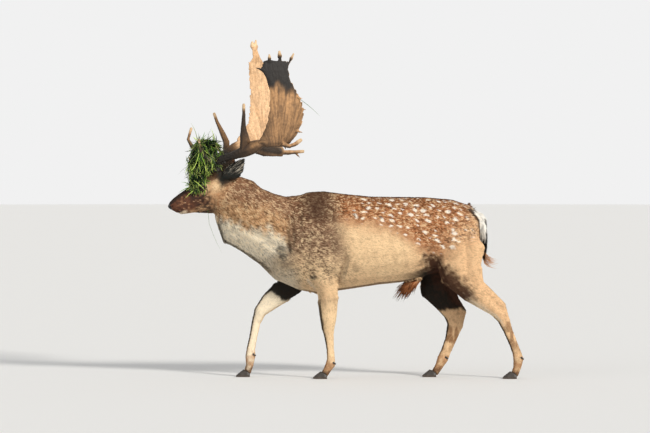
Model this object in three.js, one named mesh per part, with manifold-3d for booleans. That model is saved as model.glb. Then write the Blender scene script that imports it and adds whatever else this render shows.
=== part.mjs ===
// A fallow buck, life size, walking: one flesh form parted into head, neck, trunk and legs, with ears,
// eyes, palmate antlers, hooves, tail and sheath as pieces of their own, and a wreath of torn grass
// round its antlers.
// Millimetres, +Z up. The buck faces -X, its left side is -Y, and its hooves stand on Z = 0.
// The origin is the middle of the part's box, on the ground.
import * as THREE from "three";
import { mergeVertices } from "three/addons/utils/BufferGeometryUtils.js";
import Module from "manifold-3d";

const wasm = await Module();
wasm.setup();

// ---------------------------------------------------------------- driving dimensions

const GAP = 0.4; // left between pieces that meet
const WELD = 1e-3; // corners closer than this are one corner
const LEFT = -1;
const RIGHT = 1;
const SIDES = { left: LEFT, right: RIGHT };

const ACROSS = new THREE.Vector3(0, 1, 0);
const ALONG = new THREE.Vector3(1, 0, 0);
const UP = new THREE.Vector3(0, 0, 1);

const HEAD_PITCH = 20; // degrees the muzzle points down
const HEAD_YAW = 13; // degrees the head turns to the left
const POLL = new THREE.Vector3(-494, 0, 915); // back of the skull, where head meets neck
const CROWN_HEIGHT = 35; // the antlers' frame stands this far above the poll

const EYE_RADIUS = 16;
const EYE = { forward: 120, side: 53, up: 30 }; // eyeball's centre in the head's frame
// The bony rim round the eye: its middle, from the eyeball's centre, and its radii and lean.
const BROW_RIM = { behind: 8, inside: 7, above: 5, radii: [36, 18, 24], pitch: 12 };

// One claw of a cloven hoof: it reaches from the heel behind the coronet to the toe in front.
const CLAW = { heel: 20, toe: 46, width: 23, height: 36, spread: 12.5, splay: 3 };
const DEWCLAW = { length: 24, radius: 7.5, spread: 14, drop: 16, behind: 14, above: 6 };

// The rough crown round the antler's foot: its middle, its lean outward, and its half width and thickness.
const BURR = { x: -60, y: 50, z: 50, tilt: 40, wide: 31, thick: 8 };

// Cuts reach across the whole body, or from near its middle plane out past one pair of legs.
const BODY_CUT = [-400, 400];
const LEG_CUT = { inner: 34, outer: 150 };

const rad = THREE.MathUtils.degToRad;

// ---------------------------------------------------------------- making solids

// A closed three.js geometry as a solid that can be joined and cut.
function solid(geometry) {
  const bare = geometry.clone();
  bare.deleteAttribute("normal");
  bare.deleteAttribute("uv");
  const merged = mergeVertices(bare, WELD);
  const make = (triVerts) =>
    new wasm.Manifold(
      new wasm.Mesh({ numProp: 3, vertProperties: merged.attributes.position.array, triVerts }),
    );
  const triangles = new Uint32Array(merged.index.array);
  const made = make(triangles);
  return made.volume() > 0 ? made : make(triangles.reverse());
}

// A solid as a three.js geometry.
function geometryOf(shape) {
  const mesh = shape.getMesh();
  return new THREE.BufferGeometry()
    .setAttribute("position", new THREE.BufferAttribute(new Float32Array(mesh.vertProperties), 3))
    .setIndex(new THREE.BufferAttribute(new Uint32Array(mesh.triVerts), 1));
}

const joined = (shapes) => shapes.reduce((whole, shape) => whole.add(shape));
const cut = (shape, tools) => tools.reduce((rest, tool) => rest.subtract(tool), shape);

// The largest body of a solid that a cut has left in several.
const largest = (shape) => shape.decompose().reduce((a, b) => (b.volume() > a.volume() ? b : a));

// One rib of a lofted form: its centre, half its width, and its reach above and below the centre line.
// A form that runs forward reaches up and down; one that runs down a leg reaches forward and back.
const rib = (x, y, z, wide, over, under, extra = {}) => ({
  centre: new THREE.Vector3(x, y, z),
  reach: new THREE.Vector3(wide, over, under),
  look: new THREE.Vector3(extra.taper ?? 0, extra.square ?? 2.2, extra.cup ?? 0),
});

// A closed form swept through ribs. taper widens the upper side, square makes the section boxy,
// cup bends the section's edges up into a trough, and grow adds a skin of that thickness.
// Its sections stand square to its line, or all face one way where facing is given.
function loft(ribs, options) {
  const { sides, steps = 1, grow = 0, lateral = ACROSS, facing } = options;
  const through = (key) => new THREE.CatmullRomCurve3(ribs.map((r) => r[key]), false, "centripetal");
  const [line, reach, look] = ["centre", "reach", "look"].map(through);
  const spans = (ribs.length - 1) * steps;
  const geometry = new THREE.CylinderGeometry(1, 1, 1, sides, spans);
  const at = geometry.attributes.position;
  for (let i = 0; i < at.count; i++) {
    const t = THREE.MathUtils.clamp(0.5 - at.getY(i), 0, 1);
    const radius = Math.hypot(at.getX(i), at.getZ(i));
    const angle = Math.atan2(at.getZ(i), at.getX(i));
    const size = reach.getPoint(t);
    const { x: taper, y: square, z: cup } = look.getPoint(t);
    const tangent = facing ?? line.getTangent(t);
    const upward = new THREE.Vector3().crossVectors(lateral, tangent).normalize();
    const across = new THREE.Vector3().crossVectors(tangent, upward).normalize();
    const round = (v) => Math.sign(v) * Math.abs(v) ** (2 / square);
    const [c, s] = [Math.cos(angle), Math.sin(angle)];
    const side = radius * (size.x + grow) * round(c) * (1 + taper * s);
    const rise = radius * ((s > 0 ? size.y : size.z) + grow) * round(s) + cup * c * c * radius;
    const end = (t === 0 ? -grow : 0) + (t === 1 ? grow : 0);
    const p = line
      .getPoint(t)
      .addScaledVector(across, side)
      .addScaledVector(upward, rise)
      .addScaledVector(tangent, end);
    at.setXYZ(i, p.x, p.y, p.z);
  }
  return solid(geometry);
}

// A round ball or egg: the places of its centre, its radii, and how many facets run round and down it.
function egg(centre, radii, [around, down], grow = 0, pitch = 0) {
  const geometry = new THREE.SphereGeometry(1, around, down)
    .scale(...radii.map((r) => r + grow))
    .rotateY(rad(pitch))
    .translate(...centre);
  return solid(geometry);
}

// A thin slab across the body, seen from its side as a line between two points, each [x, z].
function knife([x0, z0], [x1, z1], [y0, y1]) {
  const slab = new THREE.BoxGeometry(Math.hypot(x1 - x0, z1 - z0), y1 - y0, GAP)
    .rotateY(-Math.atan2(z1 - z0, x1 - x0))
    .translate((x0 + x1) / 2, (y0 + y1) / 2, (z0 + z1) / 2);
  return solid(slab);
}

// ---------------------------------------------------------------- trunk, neck and tail

// The barrel of the body runs from the rump to the withers, bends up there and goes on as the neck.
function barrel(grow) {
  const ribs = [
    rib(716, 0, 700, 44, 44, 66),
    rib(698, 0, 702, 78, 84, 100),
    rib(655, 0, 708, 104, 117, 118),
    rib(594, 0, 706, 122, 146, 146),
    rib(484, 0, 684, 134, 181, 180, { taper: -0.02 }),
    rib(356, 0, 660, 150, 205, 205, { taper: -0.04 }),
    rib(214, 0, 652, 160, 213, 213, { taper: -0.08 }),
    rib(71, 0, 648, 152, 230, 231, { taper: -0.12, square: 2.3 }),
    rib(-40, 0, 645, 138, 245, 246, { taper: -0.13, square: 2.3 }),
    rib(-115, 0, 650, 128, 241, 236, { taper: -0.12, square: 2.2 }),
    rib(-190, 0, 668, 117, 231, 215, { taper: -0.1 }),
    rib(-245, -1, 697, 108, 201, 184, { taper: -0.06 }),
    rib(-300, -4, 731, 99, 160, 178),
    rib(-352, -9, 766, 93, 140, 180, { taper: 0.02 }),
    rib(-400, -13, 800, 87, 128, 189, { taper: 0.04 }),
    rib(-448, -17, 836, 80, 130, 150, { taper: 0.02 }),
    rib(-496, -22, 868, 70, 112, 104),
    rib(-534, -26, 896, 56, 80, 70),
  ];
  return loft(ribs, { sides: 18, grow });
}

function tail(grow) {
  const ribs = [
    rib(652, 0, 812, 24, 22, 22),
    rib(696, 0, 786, 28, 16, 17),
    rib(724, 0, 738, 31, 15, 19),
    rib(731, 0, 690, 29, 13, 15),
    rib(731, 0, 636, 20, 10, 9),
    rib(731, 0, 592, 6, 4, 4),
  ];
  return loft(ribs, { sides: 8, steps: 2, grow });
}

// The sheath under the belly, with its brush of long hair hanging forward.
function sheath(grow) {
  const ribs = [
    rib(424, 0, 496, 26, 24, 30),
    rib(400, 0, 462, 27, 27, 26),
    rib(372, 0, 432, 26, 24, 24),
    rib(342, 0, 408, 20, 17, 17),
    rib(312, 0, 390, 7, 6, 6),
  ];
  return loft(ribs, { sides: 7, steps: 2, grow });
}

// ---------------------------------------------------------------- legs

// Each leg is one form from inside the body down to the coronet, where its foot begins.
const LEGS = {
  foreleg_left: {
    side: LEFT,
    foot: { x: -34, y: 84 },
    ribs: [
      rib(-24, 56, 800, 30, 34, 36),
      rib(-76, 72, 703, 42, 64, 70),
      rib(-84, 86, 570, 50, 78, 92),
      rib(-16, 88, 451, 43, 55, 58),
      rib(-8, 88, 394, 36, 48, 49),
      rib(-7, 88, 318, 29, 41, 41),
      rib(-7, 88, 276, 26, 36, 35),
      rib(-8, 88, 240, 24, 32, 30),
      rib(-5, 87, 204, 19, 24, 24),
      rib(0, 86, 147, 14.5, 19, 20),
      rib(4, 85, 96, 15, 20, 21),
      rib(2, 84, 70, 19, 24, 25),
      rib(-13, 84, 44, 17, 19, 20),
      rib(-27, 84, 18, 17, 19, 17),
    ],
    cuts: [
      { from: [-98, 368], to: [80, 404] },
      { from: [-60, 208], to: [50, 208] },
      { from: [-50, 86], to: [60, 92] },
    ],
    pieces: { forearm: [-8, 88, 300], cannon: [-2, 86, 150], pastern: [-6, 84, 56] },
  },
  foreleg_right: {
    side: RIGHT,
    foot: { x: -402, y: 84 },
    ribs: [
      rib(-40, 56, 800, 30, 34, 36),
      rib(-86, 72, 712, 42, 64, 70),
      rib(-128, 86, 570, 50, 78, 88),
      rib(-192, 88, 440, 44, 64, 66),
      rib(-240, 88, 398, 38, 53, 54),
      rib(-290, 88, 358, 30, 45, 46),
      rib(-333, 88, 312, 25, 31, 32),
      rib(-352, 87, 262, 18.5, 23, 23),
      rib(-368, 86, 183, 14.5, 20, 21),
      rib(-377, 85, 136, 15.5, 22, 22),
      rib(-380, 85, 102, 19, 25, 26),
      rib(-384, 84, 56, 17, 19, 20),
      rib(-394, 84, 20, 17, 19, 17),
    ],
    cuts: [
      { from: [-281, 476], to: [-169, 348] },
      { from: [-388, 307], to: [-298, 273] },
      { from: [-430, 124], to: [-330, 126] },
    ],
    pieces: { forearm: [-285, 88, 340], cannon: [-362, 86, 190], pastern: [-388, 84, 60] },
  },
  hindleg_left: {
    side: LEFT,
    foot: { x: 864, y: 82 },
    ribs: [
      rib(596, 50, 776, 34, 44, 50),
      rib(590, 64, 700, 50, 84, 88),
      rib(602, 78, 608, 66, 118, 134),
      rib(622, 82, 506, 62, 108, 105),
      rib(682, 86, 423, 47, 72, 62),
      rib(741, 86, 366, 35, 48, 60),
      rib(788, 85, 326, 26, 37, 54),
      rib(818, 84, 284, 21, 28, 33),
      rib(842, 84, 228, 16.5, 23, 24),
      rib(868, 83, 165, 15.5, 21, 22),
      rib(884, 83, 122, 16, 22, 23),
      rib(891, 82, 94, 20, 25, 27),
      rib(886, 82, 56, 18, 20, 21),
      rib(874, 82, 18, 18, 19, 18),
    ],
    cuts: [
      { from: [770, 262], to: [870, 300] },
      { from: [830, 108], to: [940, 118] },
    ],
    pieces: { thigh: [720, 86, 400], cannon: [850, 84, 200], pastern: [885, 82, 66] },
  },
  hindleg_right: {
    side: RIGHT,
    foot: { x: 487, y: 82 },
    ribs: [
      rib(576, 50, 776, 34, 44, 50),
      rib(566, 64, 700, 50, 84, 88),
      rib(554, 78, 608, 66, 114, 118),
      rib(524, 82, 504, 60, 108, 100),
      rib(528, 86, 418, 46, 98, 74),
      rib(565, 86, 352, 35, 62, 58),
      rib(598, 85, 302, 28, 58, 57),
      rib(597, 84, 248, 22, 40, 40),
      rib(576, 84, 178, 17, 29, 29),
      rib(553, 83, 122, 17, 25, 26),
      rib(538, 82, 88, 20, 27, 28),
      rib(519, 82, 50, 18, 20, 21),
      rib(500, 82, 18, 18, 19, 18),
    ],
    cuts: [
      { from: [540, 262], to: [660, 246] },
      { from: [490, 118], to: [600, 100] },
    ],
    pieces: { thigh: [550, 86, 380], cannon: [580, 84, 180], pastern: [525, 82, 62] },
  },
};

function leg({ side, ribs }, grow) {
  const toSide = new THREE.Vector3(1, side, 1);
  const placed = ribs.map((r) => ({ ...r, centre: r.centre.clone().multiply(toSide) }));
  return loft(placed, { sides: 9, grow });
}

// The ground, whose top is Z = 0.
const GROUND = { long: 2400, wide: 800, deep: 100 };
const ground = solid(
  new THREE.BoxGeometry(GROUND.long, GROUND.wide, GROUND.deep).translate(0, 0, -GROUND.deep / 2),
);

// One claw of a hoof, in the part's frame, with its flat sole on the ground.
function claw({ side, foot }, inner, grow) {
  const y = side * foot.y + inner * CLAW.spread;
  const toe = y + inner * CLAW.splay;
  const half = CLAW.width / 2;
  const { heel, height } = CLAW;
  const ribs = [
    rib(foot.x + heel, y, 10, half * 0.7, 10, 12),
    rib(foot.x + 8, y, 10, half, height * 0.58, 12),
    rib(foot.x - 10, y, 10, half, height - 10, 14),
    rib(foot.x - 26, toe, 8, half * 0.88, height * 0.42, 12),
    rib(foot.x - CLAW.toe, toe - inner * 2, 3, half * 0.36, 5, 8),
  ];
  return cut(loft(ribs, { sides: 7, grow }), grow > 0 ? [] : [ground]);
}

// A dewclaw, a blunt cone that hangs behind the fetlock.
function dewclaw({ side, fetlock }, inner, grow) {
  const { length, radius, spread, drop } = DEWCLAW;
  const y = side * fetlock.y + inner * spread;
  const { x, z } = fetlock;
  const ribs = [
    rib(x, y, z, radius, radius, radius),
    rib(x + length, y + inner * 2, z - drop, radius * 0.55, radius * 0.55, radius * 0.55),
  ];
  return loft(ribs, { sides: 5, grow });
}

// ---------------------------------------------------------------- head

const headFrame = new THREE.Group();
headFrame.position.copy(POLL);
headFrame.rotation.set(0, rad(-HEAD_PITCH), rad(HEAD_YAW), "ZYX");
headFrame.updateMatrix();

// A solid made in the head's frame, taken to the part's frame.
const onHead = (shape) => shape.transform(headFrame.matrix.toArray());

// The head from the poll to the nose, jaw and all.
function skull(grow) {
  const ribs = [
    rib(24, 0, -16, 56, 78, 70),
    rib(-30, 0, -12, 64, 92, 92, { taper: 0.12, square: 2.6 }),
    rib(-74, 0, -10, 66, 92, 97, { taper: 0.22, square: 2.6 }),
    rib(-112, 0, -8, 61, 82, 94, { taper: 0.3 }),
    rib(-150, 0, -8, 50, 69, 80, { taper: 0.26, square: 2.3 }),
    rib(-192, 0, -10, 40, 60, 60, { taper: 0.18, square: 2.4 }),
    rib(-232, 0, -12, 35, 51, 49, { taper: 0.1, square: 2.5 }),
    rib(-260, 0, -13, 34, 43, 44, { taper: 0.08, square: 2.5 }),
    rib(-283, 0, -13, 30, 33, 31, { square: 2.4 }),
    rib(-296, 0, -12, 22, 22, 20),
    rib(-301, 0, -12, 12, 12, 10),
  ];
  return loft(ribs, { sides: 16, grow });
}

// The bony rim that stands round one eye.
function browRim(side, grow) {
  const { behind, inside, above, radii, pitch } = BROW_RIM;
  const centre = [behind - EYE.forward, side * (EYE.side - inside), EYE.up + above];
  return egg(centre, radii, [9, 6], grow, pitch);
}

function eye(side, grow = 0) {
  const centre = [-EYE.forward, side * EYE.side, EYE.up];
  return egg(centre, [EYE_RADIUS, EYE_RADIUS, EYE_RADIUS], [10, 7], grow);
}

// The way across an ear's leaf: its front edge stands over its back edge.
const EAR_HOLLOW = new THREE.Vector3(-0.45, 0, 0.9);

// An ear laid back along the neck, a cupped leaf whose hollow faces out.
function ear(side, grow = 0) {
  const ribs = [
    rib(-26, side * 50, 36, 15, 13, 13),
    rib(-8, side * 70, 42, 21, 10, 10, { cup: 6 }),
    rib(14, side * 90, 50, 29, 5, 5, { cup: 13 }),
    rib(44, side * 106, 62, 32, 4, 4, { cup: 15 }),
    rib(76, side * 116, 78, 25, 3.5, 3.5, { cup: 10 }),
    rib(102, side * 120, 94, 13, 3, 3, { cup: 4 }),
    rib(114, side * 121, 102, 4, 2, 2),
  ];
  return loft(ribs, { sides: 8, grow, lateral: EAR_HOLLOW });
}

// ---------------------------------------------------------------- antlers

// What follows is in a frame over the poll that turns with the head but stays level.
const antlerFrame = new THREE.Group();
antlerFrame.position.copy(POLL).add(new THREE.Vector3(0, 0, CROWN_HEIGHT));
antlerFrame.rotation.set(0, 0, rad(HEAD_YAW));
antlerFrame.updateMatrix();

// A solid made in the antlers' frame, taken to the part's frame.
const onAntlers = (shape) => shape.transform(antlerFrame.matrix.toArray());

// Points are [back, out, up]. A palm's ribs are [up, middle, half width, out, half thickness].
const BEAM = [
  [-58, 50, 52],
  [-54, 64, 72],
  [-38, 90, 90],
  [0, 126, 104],
  [44, 172, 122],
  [88, 212, 146],
  [128, 238, 168],
];
const BEAM_RADII = [21, 21, 19, 19, 21, 22, 14];

const ANTLERS = {
  left: {
    side: LEFT,
    brow: [[-62, 62, 66], [-104, 66, 86], [-134, 74, 124], [-146, 80, 168], [-146, 82, 184]],
    trez: [[50, 180, 130], [50, 198, 176], [40, 214, 234], [38, 228, 296], [36, 238, 349]],
    rear: [[214, 262, 160], [250, 263, 150], [280, 264, 162], [308, 264, 182]],
    palm: [
      [148, 186, 50, 240, 12],
      [168, 184, 78, 246, 12],
      [205, 206, 84, 254, 10],
      [255, 227, 88, 262, 8],
      [313, 235, 87, 268, 6.5],
      [370, 230, 79, 271, 5.5],
      [420, 214, 66, 272, 5],
      [466, 195, 61, 270, 5],
      [513, 178, 70, 265, 5],
      [552, 184, 60, 260, 4],
    ],
    spurs: [
      { from: [130, 266, 505], to: [86, 262, 520], root: 10 },
      { from: [155, 262, 540], to: [155, 256, 583], root: 9 },
      { from: [206, 260, 540], to: [205, 250, 598], root: 13 },
      { from: [232, 264, 512], to: [274, 250, 587], root: 9 },
      { from: [300, 269, 326], to: [330, 266, 322], root: 8 },
      { from: [286, 270, 378], to: [314, 266, 376], root: 8 },
      { from: [284, 262, 222], to: [314, 262, 216], root: 9 },
      { from: [226, 250, 162], to: [236, 250, 134], root: 7 },
    ],
    fork: [],
  },
  right: {
    side: RIGHT,
    brow: [[-62, 62, 66], [-104, 64, 92], [-148, 72, 146], [-168, 78, 184], [-150, 86, 238]],
    trez: [[38, 180, 128], [42, 196, 170], [22, 212, 222], [2, 226, 269], [-10, 236, 310]],
    rear: [[262, 262, 132], [306, 263, 120], [370, 264, 121], [438, 262, 126]],
    palm: [
      [102, 282, 48, 252, 8],
      [124, 256, 88, 251, 10],
      [150, 218, 112, 250, 11],
      [182, 208, 104, 252, 10],
      [216, 214, 86, 256, 9],
      [265, 238, 76, 262, 8],
      [320, 245, 77, 268, 6.5],
      [375, 240, 68, 271, 5.5],
      [420, 229, 57, 272, 5],
      [466, 215, 48, 270, 5],
      [548, 204, 40, 262, 5],
      [578, 204, 20, 259, 5],
      [620, 193, 12, 256, 5],
      [640, 190, 11, 255, 4],
    ],
    spurs: [
      { from: [188, 262, 540], to: [163, 260, 556], root: 8 },
      { from: [185, 256, 630], to: [181, 254, 656], root: 6 },
      { from: [195, 256, 630], to: [200, 254, 660], root: 6 },
      { from: [288, 269, 326], to: [328, 266, 322], root: 8 },
      { from: [278, 270, 378], to: [310, 266, 376], root: 8 },
      { from: [230, 262, 520], to: [252, 256, 552], root: 8 },
    ],
    fork: [{ from: [392, 263, 124], to: [418, 262, 96], root: 6 }],
  },
};

// Directions across a tine and across a spur, neither of them ever along it.
const TINE_ACROSS = new THREE.Vector3(0.3, 0.9, 0.3);
const SPUR_ACROSS = new THREE.Vector3(0.6, 0, -0.5);

// A round tine that tapers from its root to its tip.
function tine(side, points, [atRoot, atTip], grow) {
  const ribs = points.map(([x, y, z], i) => {
    const along = i / (points.length - 1);
    const r = THREE.MathUtils.lerp(atRoot, atTip, along ** 1.4);
    return rib(x, side * y, z, r, r, r, { square: 2 });
  });
  return loft(ribs, { sides: 6, grow, lateral: TINE_ACROSS });
}

function burr(side, grow) {
  const { x, y, z, tilt, wide, thick } = BURR;
  const profile = [
    [0, -thick - grow],
    [wide * 0.84 + grow, -thick - grow],
    [wide + grow, 0],
    [wide * 0.8 + grow, thick + grow],
    [0, thick + grow],
  ];
  const crown = new THREE.LatheGeometry(profile.map((point) => new THREE.Vector2(...point)), 9)
    .rotateX(Math.PI / 2)
    .rotateX(-side * rad(tilt))
    .translate(x, side * y, z);
  return solid(crown);
}

// The beam, which stands on its burr.
function beam({ side }, grow = 0) {
  const ribs = BEAM.map(([x, y, z], i) => {
    const r = BEAM_RADII[i];
    return rib(x, side * y, z, r, r, r, { square: 2 });
  });
  return joined([loft(ribs, { sides: 7, steps: 2, grow }), burr(side, grow)]);
}

// A short flat point on a palm's rim or a tine: half its thickness, and its tip's share of its root's width.
const SPUR = { thick: 5, point: 0.32 };

function spur(side, { from, to, root: wide }, grow) {
  const ribAt = ([x, y, z], half) => {
    const thick = Math.min(half, SPUR.thick);
    return rib(x, side * y, z, half, thick, thick, { square: 2 });
  };
  const ribs = [ribAt(from, wide), ribAt(to, wide * SPUR.point)];
  return loft(ribs, { sides: 4, grow, lateral: SPUR_ACROSS });
}

// The broad blade of the antler, with the points on its rim.
function palm({ side, palm: levels, spurs }, grow = 0) {
  const ribs = levels.map(([z, x, half, y, thick]) =>
    rib(x, side * y, z, half, thick, thick, { square: 2.3 }),
  );
  const blade = loft(ribs, { sides: 8, grow, lateral: ALONG, facing: UP });
  return joined([blade, ...spurs.map((point) => spur(side, point, grow))]);
}

// The tines' radii at the root and the tip.
const RADII = { rear: [11, 6], brow: [13, 5], trez: [17, 5] };

function rearTine({ side, rear, fork }, grow = 0) {
  return joined([tine(side, rear, RADII.rear, grow), ...fork.map((point) => spur(side, point, grow))]);
}

const browTine = ({ side, brow }, grow = 0) => tine(side, brow, RADII.brow, grow);
const trezTine = ({ side, trez }, grow = 0) => tine(side, trez, RADII.trez, grow);

// A skin-covered pedicle, the stump of bone that an antler stands on.
function pedicle(side, grow) {
  const ribs = [
    rib(-44, side * 30, -14, 30, 30, 30),
    rib(-53, side * 41, 18, 27, 27, 27),
    rib(-59, side * 48, 45, 24, 24, 24),
  ];
  return loft(ribs, { sides: 8, grow });
}

// ---------------------------------------------------------------- grass

// The heap of torn grass that hangs over the brow, as the lumps it makes.
const GRASS_LUMPS = [
  { centre: [-112, -2, 70], radii: [82, 80, 112] },
  { centre: [-92, -4, 152], radii: [70, 60, 44] },
  { centre: [-160, -60, -24], radii: [44, 26, 60] },
];

const grassHeap = () => joined(GRASS_LUMPS.map(({ centre, radii }) => egg(centre, radii, [8, 5])));

// ---------------------------------------------------------------- the scene graph

const LOOKS = {
  back: { color: 0xa4764c, roughness: 0.92 },
  neck: { color: 0x8f775c, roughness: 0.94 },
  face: { color: 0x7d5a3e, roughness: 0.9 },
  thigh: { color: 0xb58a60, roughness: 0.92 },
  shin: { color: 0xcbab84, roughness: 0.9 },
  white: { color: 0xe9e1d3, roughness: 0.95 },
  brush: { color: 0x6a4630, roughness: 0.95 },
  eye: { color: 0x1b110b, roughness: 0.08 },
  horn: { color: 0x2b2521, roughness: 0.5 },
  antler: { color: 0xb3946c, roughness: 0.62 },
  grass: { color: 0x5d8a2d, roughness: 0.7 },
};

const buck = new THREE.Group();
const head = new THREE.Group().copy(headFrame);
const antlers = new THREE.Group().copy(antlerFrame);
buck.add(head, antlers);
buck.updateMatrixWorld(true);
head.attach(antlers);

// Adds a solid that stands in the part's frame to a group, as a mesh in that group's own frame.
function place(name, shape, look, group = buck) {
  group.updateWorldMatrix(true, false);
  const geometry = geometryOf(shape).applyMatrix4(group.matrixWorld.clone().invert());
  const mesh = new THREE.Mesh(geometry, new THREE.MeshStandardMaterial({ metalness: 0, ...LOOKS[look] }));
  mesh.name = name;
  group.add(mesh);
}

// ---------------------------------------------------------------- what is set into the flesh

const rooted = [];

// Places a form that grows out of the flesh, and notes it, so that the flesh leaves room for it.
function root(name, form, look, group) {
  rooted.push(form(GAP));
  place(name, form(0), look, group);
}

const limbs = {};
for (const [name, limb] of Object.entries(LEGS)) {
  const knuckle = limb.ribs.at(-3).centre;
  const fetlock = { y: knuckle.y, x: knuckle.x + DEWCLAW.behind, z: knuckle.z + DEWCLAW.above };
  limbs[name] = new THREE.Group();
  limbs[name].position.set(limb.ribs[0].centre.x, 0, limb.ribs[0].centre.z);
  const foot = new THREE.Group();
  foot.position.set(limb.foot.x, limb.side * limb.foot.y, 0);
  buck.add(limbs[name], foot);
  buck.updateMatrixWorld(true);
  limbs[name].attach(foot);
  for (const [which, inner] of Object.entries({ inner: -limb.side, outer: limb.side })) {
    root(`${name}_hoof_${which}`, (grow) => claw(limb, inner, grow), "horn", foot);
    root(`${name}_dewclaw_${which}`, (grow) => dewclaw({ ...limb, fetlock }, inner, grow), "horn", foot);
  }
}
root("tail", tail, "white");
root("sheath", sheath, "brush");
for (const [name, side] of Object.entries(SIDES)) {
  root(`ear_${name}`, (grow) => onHead(ear(side, grow)), "neck", head);
  root(`eye_${name}`, (grow) => onHead(eye(side, grow)), "eye", head);
}

// Each antler is parted at its forks: the palm is whole, and the beam and the tines stop at what they grow from.
for (const [name, antler] of Object.entries(ANTLERS)) {
  const on = (form, grow) => onAntlers(form(antler, grow));
  const pieces = {
    palm: on(palm, 0),
    beam: largest(cut(on(beam, 0), [on(palm, GAP)])),
    brow_tine: largest(cut(on(browTine, 0), [on(beam, GAP)])),
    trez_tine: largest(cut(on(trezTine, 0), [on(beam, GAP), on(palm, GAP)])),
    rear_tine: largest(cut(on(rearTine, 0), [on(palm, GAP)])),
  };
  for (const [piece, shape] of Object.entries(pieces)) {
    place(`antler_${name}_${piece}`, shape, "antler", antlers);
  }
  rooted.push(...[beam, browTine, trezTine, palm, rearTine].map((form) => on(form, GAP)));
}

// ---------------------------------------------------------------- the flesh, parted by thin cuts

const headForms = (grow) => [
  onHead(skull(grow)),
  ...Object.values(SIDES).flatMap((side) => [onHead(browRim(side, grow)), onAntlers(pedicle(side, grow))]),
];
const flesh = joined([barrel(0), ...headForms(0), ...Object.values(LEGS).map((limb) => leg(limb, 0))]);

const legCut = (side) => [side * LEG_CUT.inner, side * LEG_CUT.outer].sort((a, b) => a - b);
const knives = [
  knife([-436, 990], [-566, 760], BODY_CUT), // head from neck
  knife([-110, 930], [-330, 430], BODY_CUT), // neck from trunk
  knife([389, 425.5], [784, 559], BODY_CUT), // both thighs from trunk
  ...Object.values(LEGS).flatMap(({ side, cuts }) =>
    cuts.map(({ from, to }) => knife(from, to, legCut(side))),
  ),
];

// Where the middle of each piece of flesh lies, for telling the pieces apart.
const middles = {
  head: { at: [-610, -25, 890], look: "face", group: head },
  neck: { at: [-370, 0, 720], look: "neck" },
  trunk: { at: [230, 0, 645], look: "back" },
};
for (const [name, { side, pieces }] of Object.entries(LEGS)) {
  for (const [piece, [x, y, z]] of Object.entries(pieces)) {
    const look = piece === "thigh" ? "thigh" : "shin";
    middles[`${name}_${piece}`] = { at: [x, side * y, z], look, group: limbs[name] };
  }
}

const middleOf = (shape) => {
  const { min, max } = shape.boundingBox();
  return new THREE.Vector3().fromArray(min).add(new THREE.Vector3().fromArray(max)).divideScalar(2);
};
const bodies = cut(flesh, [...rooted, ...knives]).decompose();
for (const [name, { at, look, group }] of Object.entries(middles)) {
  const spot = new THREE.Vector3(...at);
  const distance = (shape) => middleOf(shape).distanceTo(spot);
  const nearest = bodies.reduce((a, b) => (distance(b) < distance(a) ? b : a));
  place(name, nearest, look, group);
}

// The grass lies on the brow and round the tines, clear of both.
const worn = cut(onAntlers(grassHeap()), [...rooted, barrel(GAP), ...headForms(GAP)]);
place("grass_wreath", largest(worn), "grass", antlers);

// The origin is the middle of the box, on the ground.
buck.updateMatrixWorld(true);
const middle = new THREE.Box3().setFromObject(buck, true).getCenter(new THREE.Vector3());
buck.position.set(-middle.x, -middle.y, 0);

export default buck;
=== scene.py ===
"""The looks of a life-size fallow buck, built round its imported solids.

The buck faces -X, its left side is -Y and +Z is up. Every length is in metres.
"""

from __future__ import annotations

import logging
import math
from collections.abc import Iterator
from contextlib import contextmanager
from dataclasses import dataclass
from enum import Enum, IntEnum
from typing import Self

import bmesh
import bpy
import numpy as np
from mathutils import Matrix, Vector
from mathutils.bvhtree import BVHTree


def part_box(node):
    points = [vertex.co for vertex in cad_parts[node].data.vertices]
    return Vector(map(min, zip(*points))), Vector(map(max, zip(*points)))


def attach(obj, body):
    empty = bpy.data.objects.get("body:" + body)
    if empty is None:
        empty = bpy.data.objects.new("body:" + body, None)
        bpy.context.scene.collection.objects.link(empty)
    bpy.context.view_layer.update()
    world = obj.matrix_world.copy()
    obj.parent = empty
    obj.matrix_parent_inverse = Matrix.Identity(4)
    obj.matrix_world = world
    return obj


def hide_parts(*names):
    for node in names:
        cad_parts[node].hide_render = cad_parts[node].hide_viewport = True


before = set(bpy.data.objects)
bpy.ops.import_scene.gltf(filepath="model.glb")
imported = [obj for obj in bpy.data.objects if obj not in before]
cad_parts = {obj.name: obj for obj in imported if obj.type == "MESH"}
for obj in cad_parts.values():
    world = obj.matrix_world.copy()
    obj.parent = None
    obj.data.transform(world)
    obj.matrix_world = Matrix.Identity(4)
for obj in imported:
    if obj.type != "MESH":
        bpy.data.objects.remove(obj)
LOG = logging.getLogger("buck")
Array = np.ndarray
Random = np.random.Generator
Mesh = bpy.types.Mesh
Object = bpy.types.Object
Socket = bpy.types.NodeSocket
Tree = bpy.types.NodeTree
Line = tuple[tuple[float, ...], tuple[float, ...]]
BAKE_MAP = "OFBake"
HUE = "hue"  # colour attribute: the markings
BARE = "bare"  # 1 on naked skin, such as the nose and the rims of the lids
STRAND = "strand"  # runs across each tuft, and starts afresh on every one
UPRIGHT = "upright"  # 1 where the hair lies up and down, 0 where it lies along the body
SEED = 20260
SIDES = {"left": -1, "right": 1}  # the sign of Y on each side
LEGS = tuple(f"{end}leg_{side}" for end in ("fore", "hind") for side in SIDES)


# ---- colours and noise ----


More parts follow.
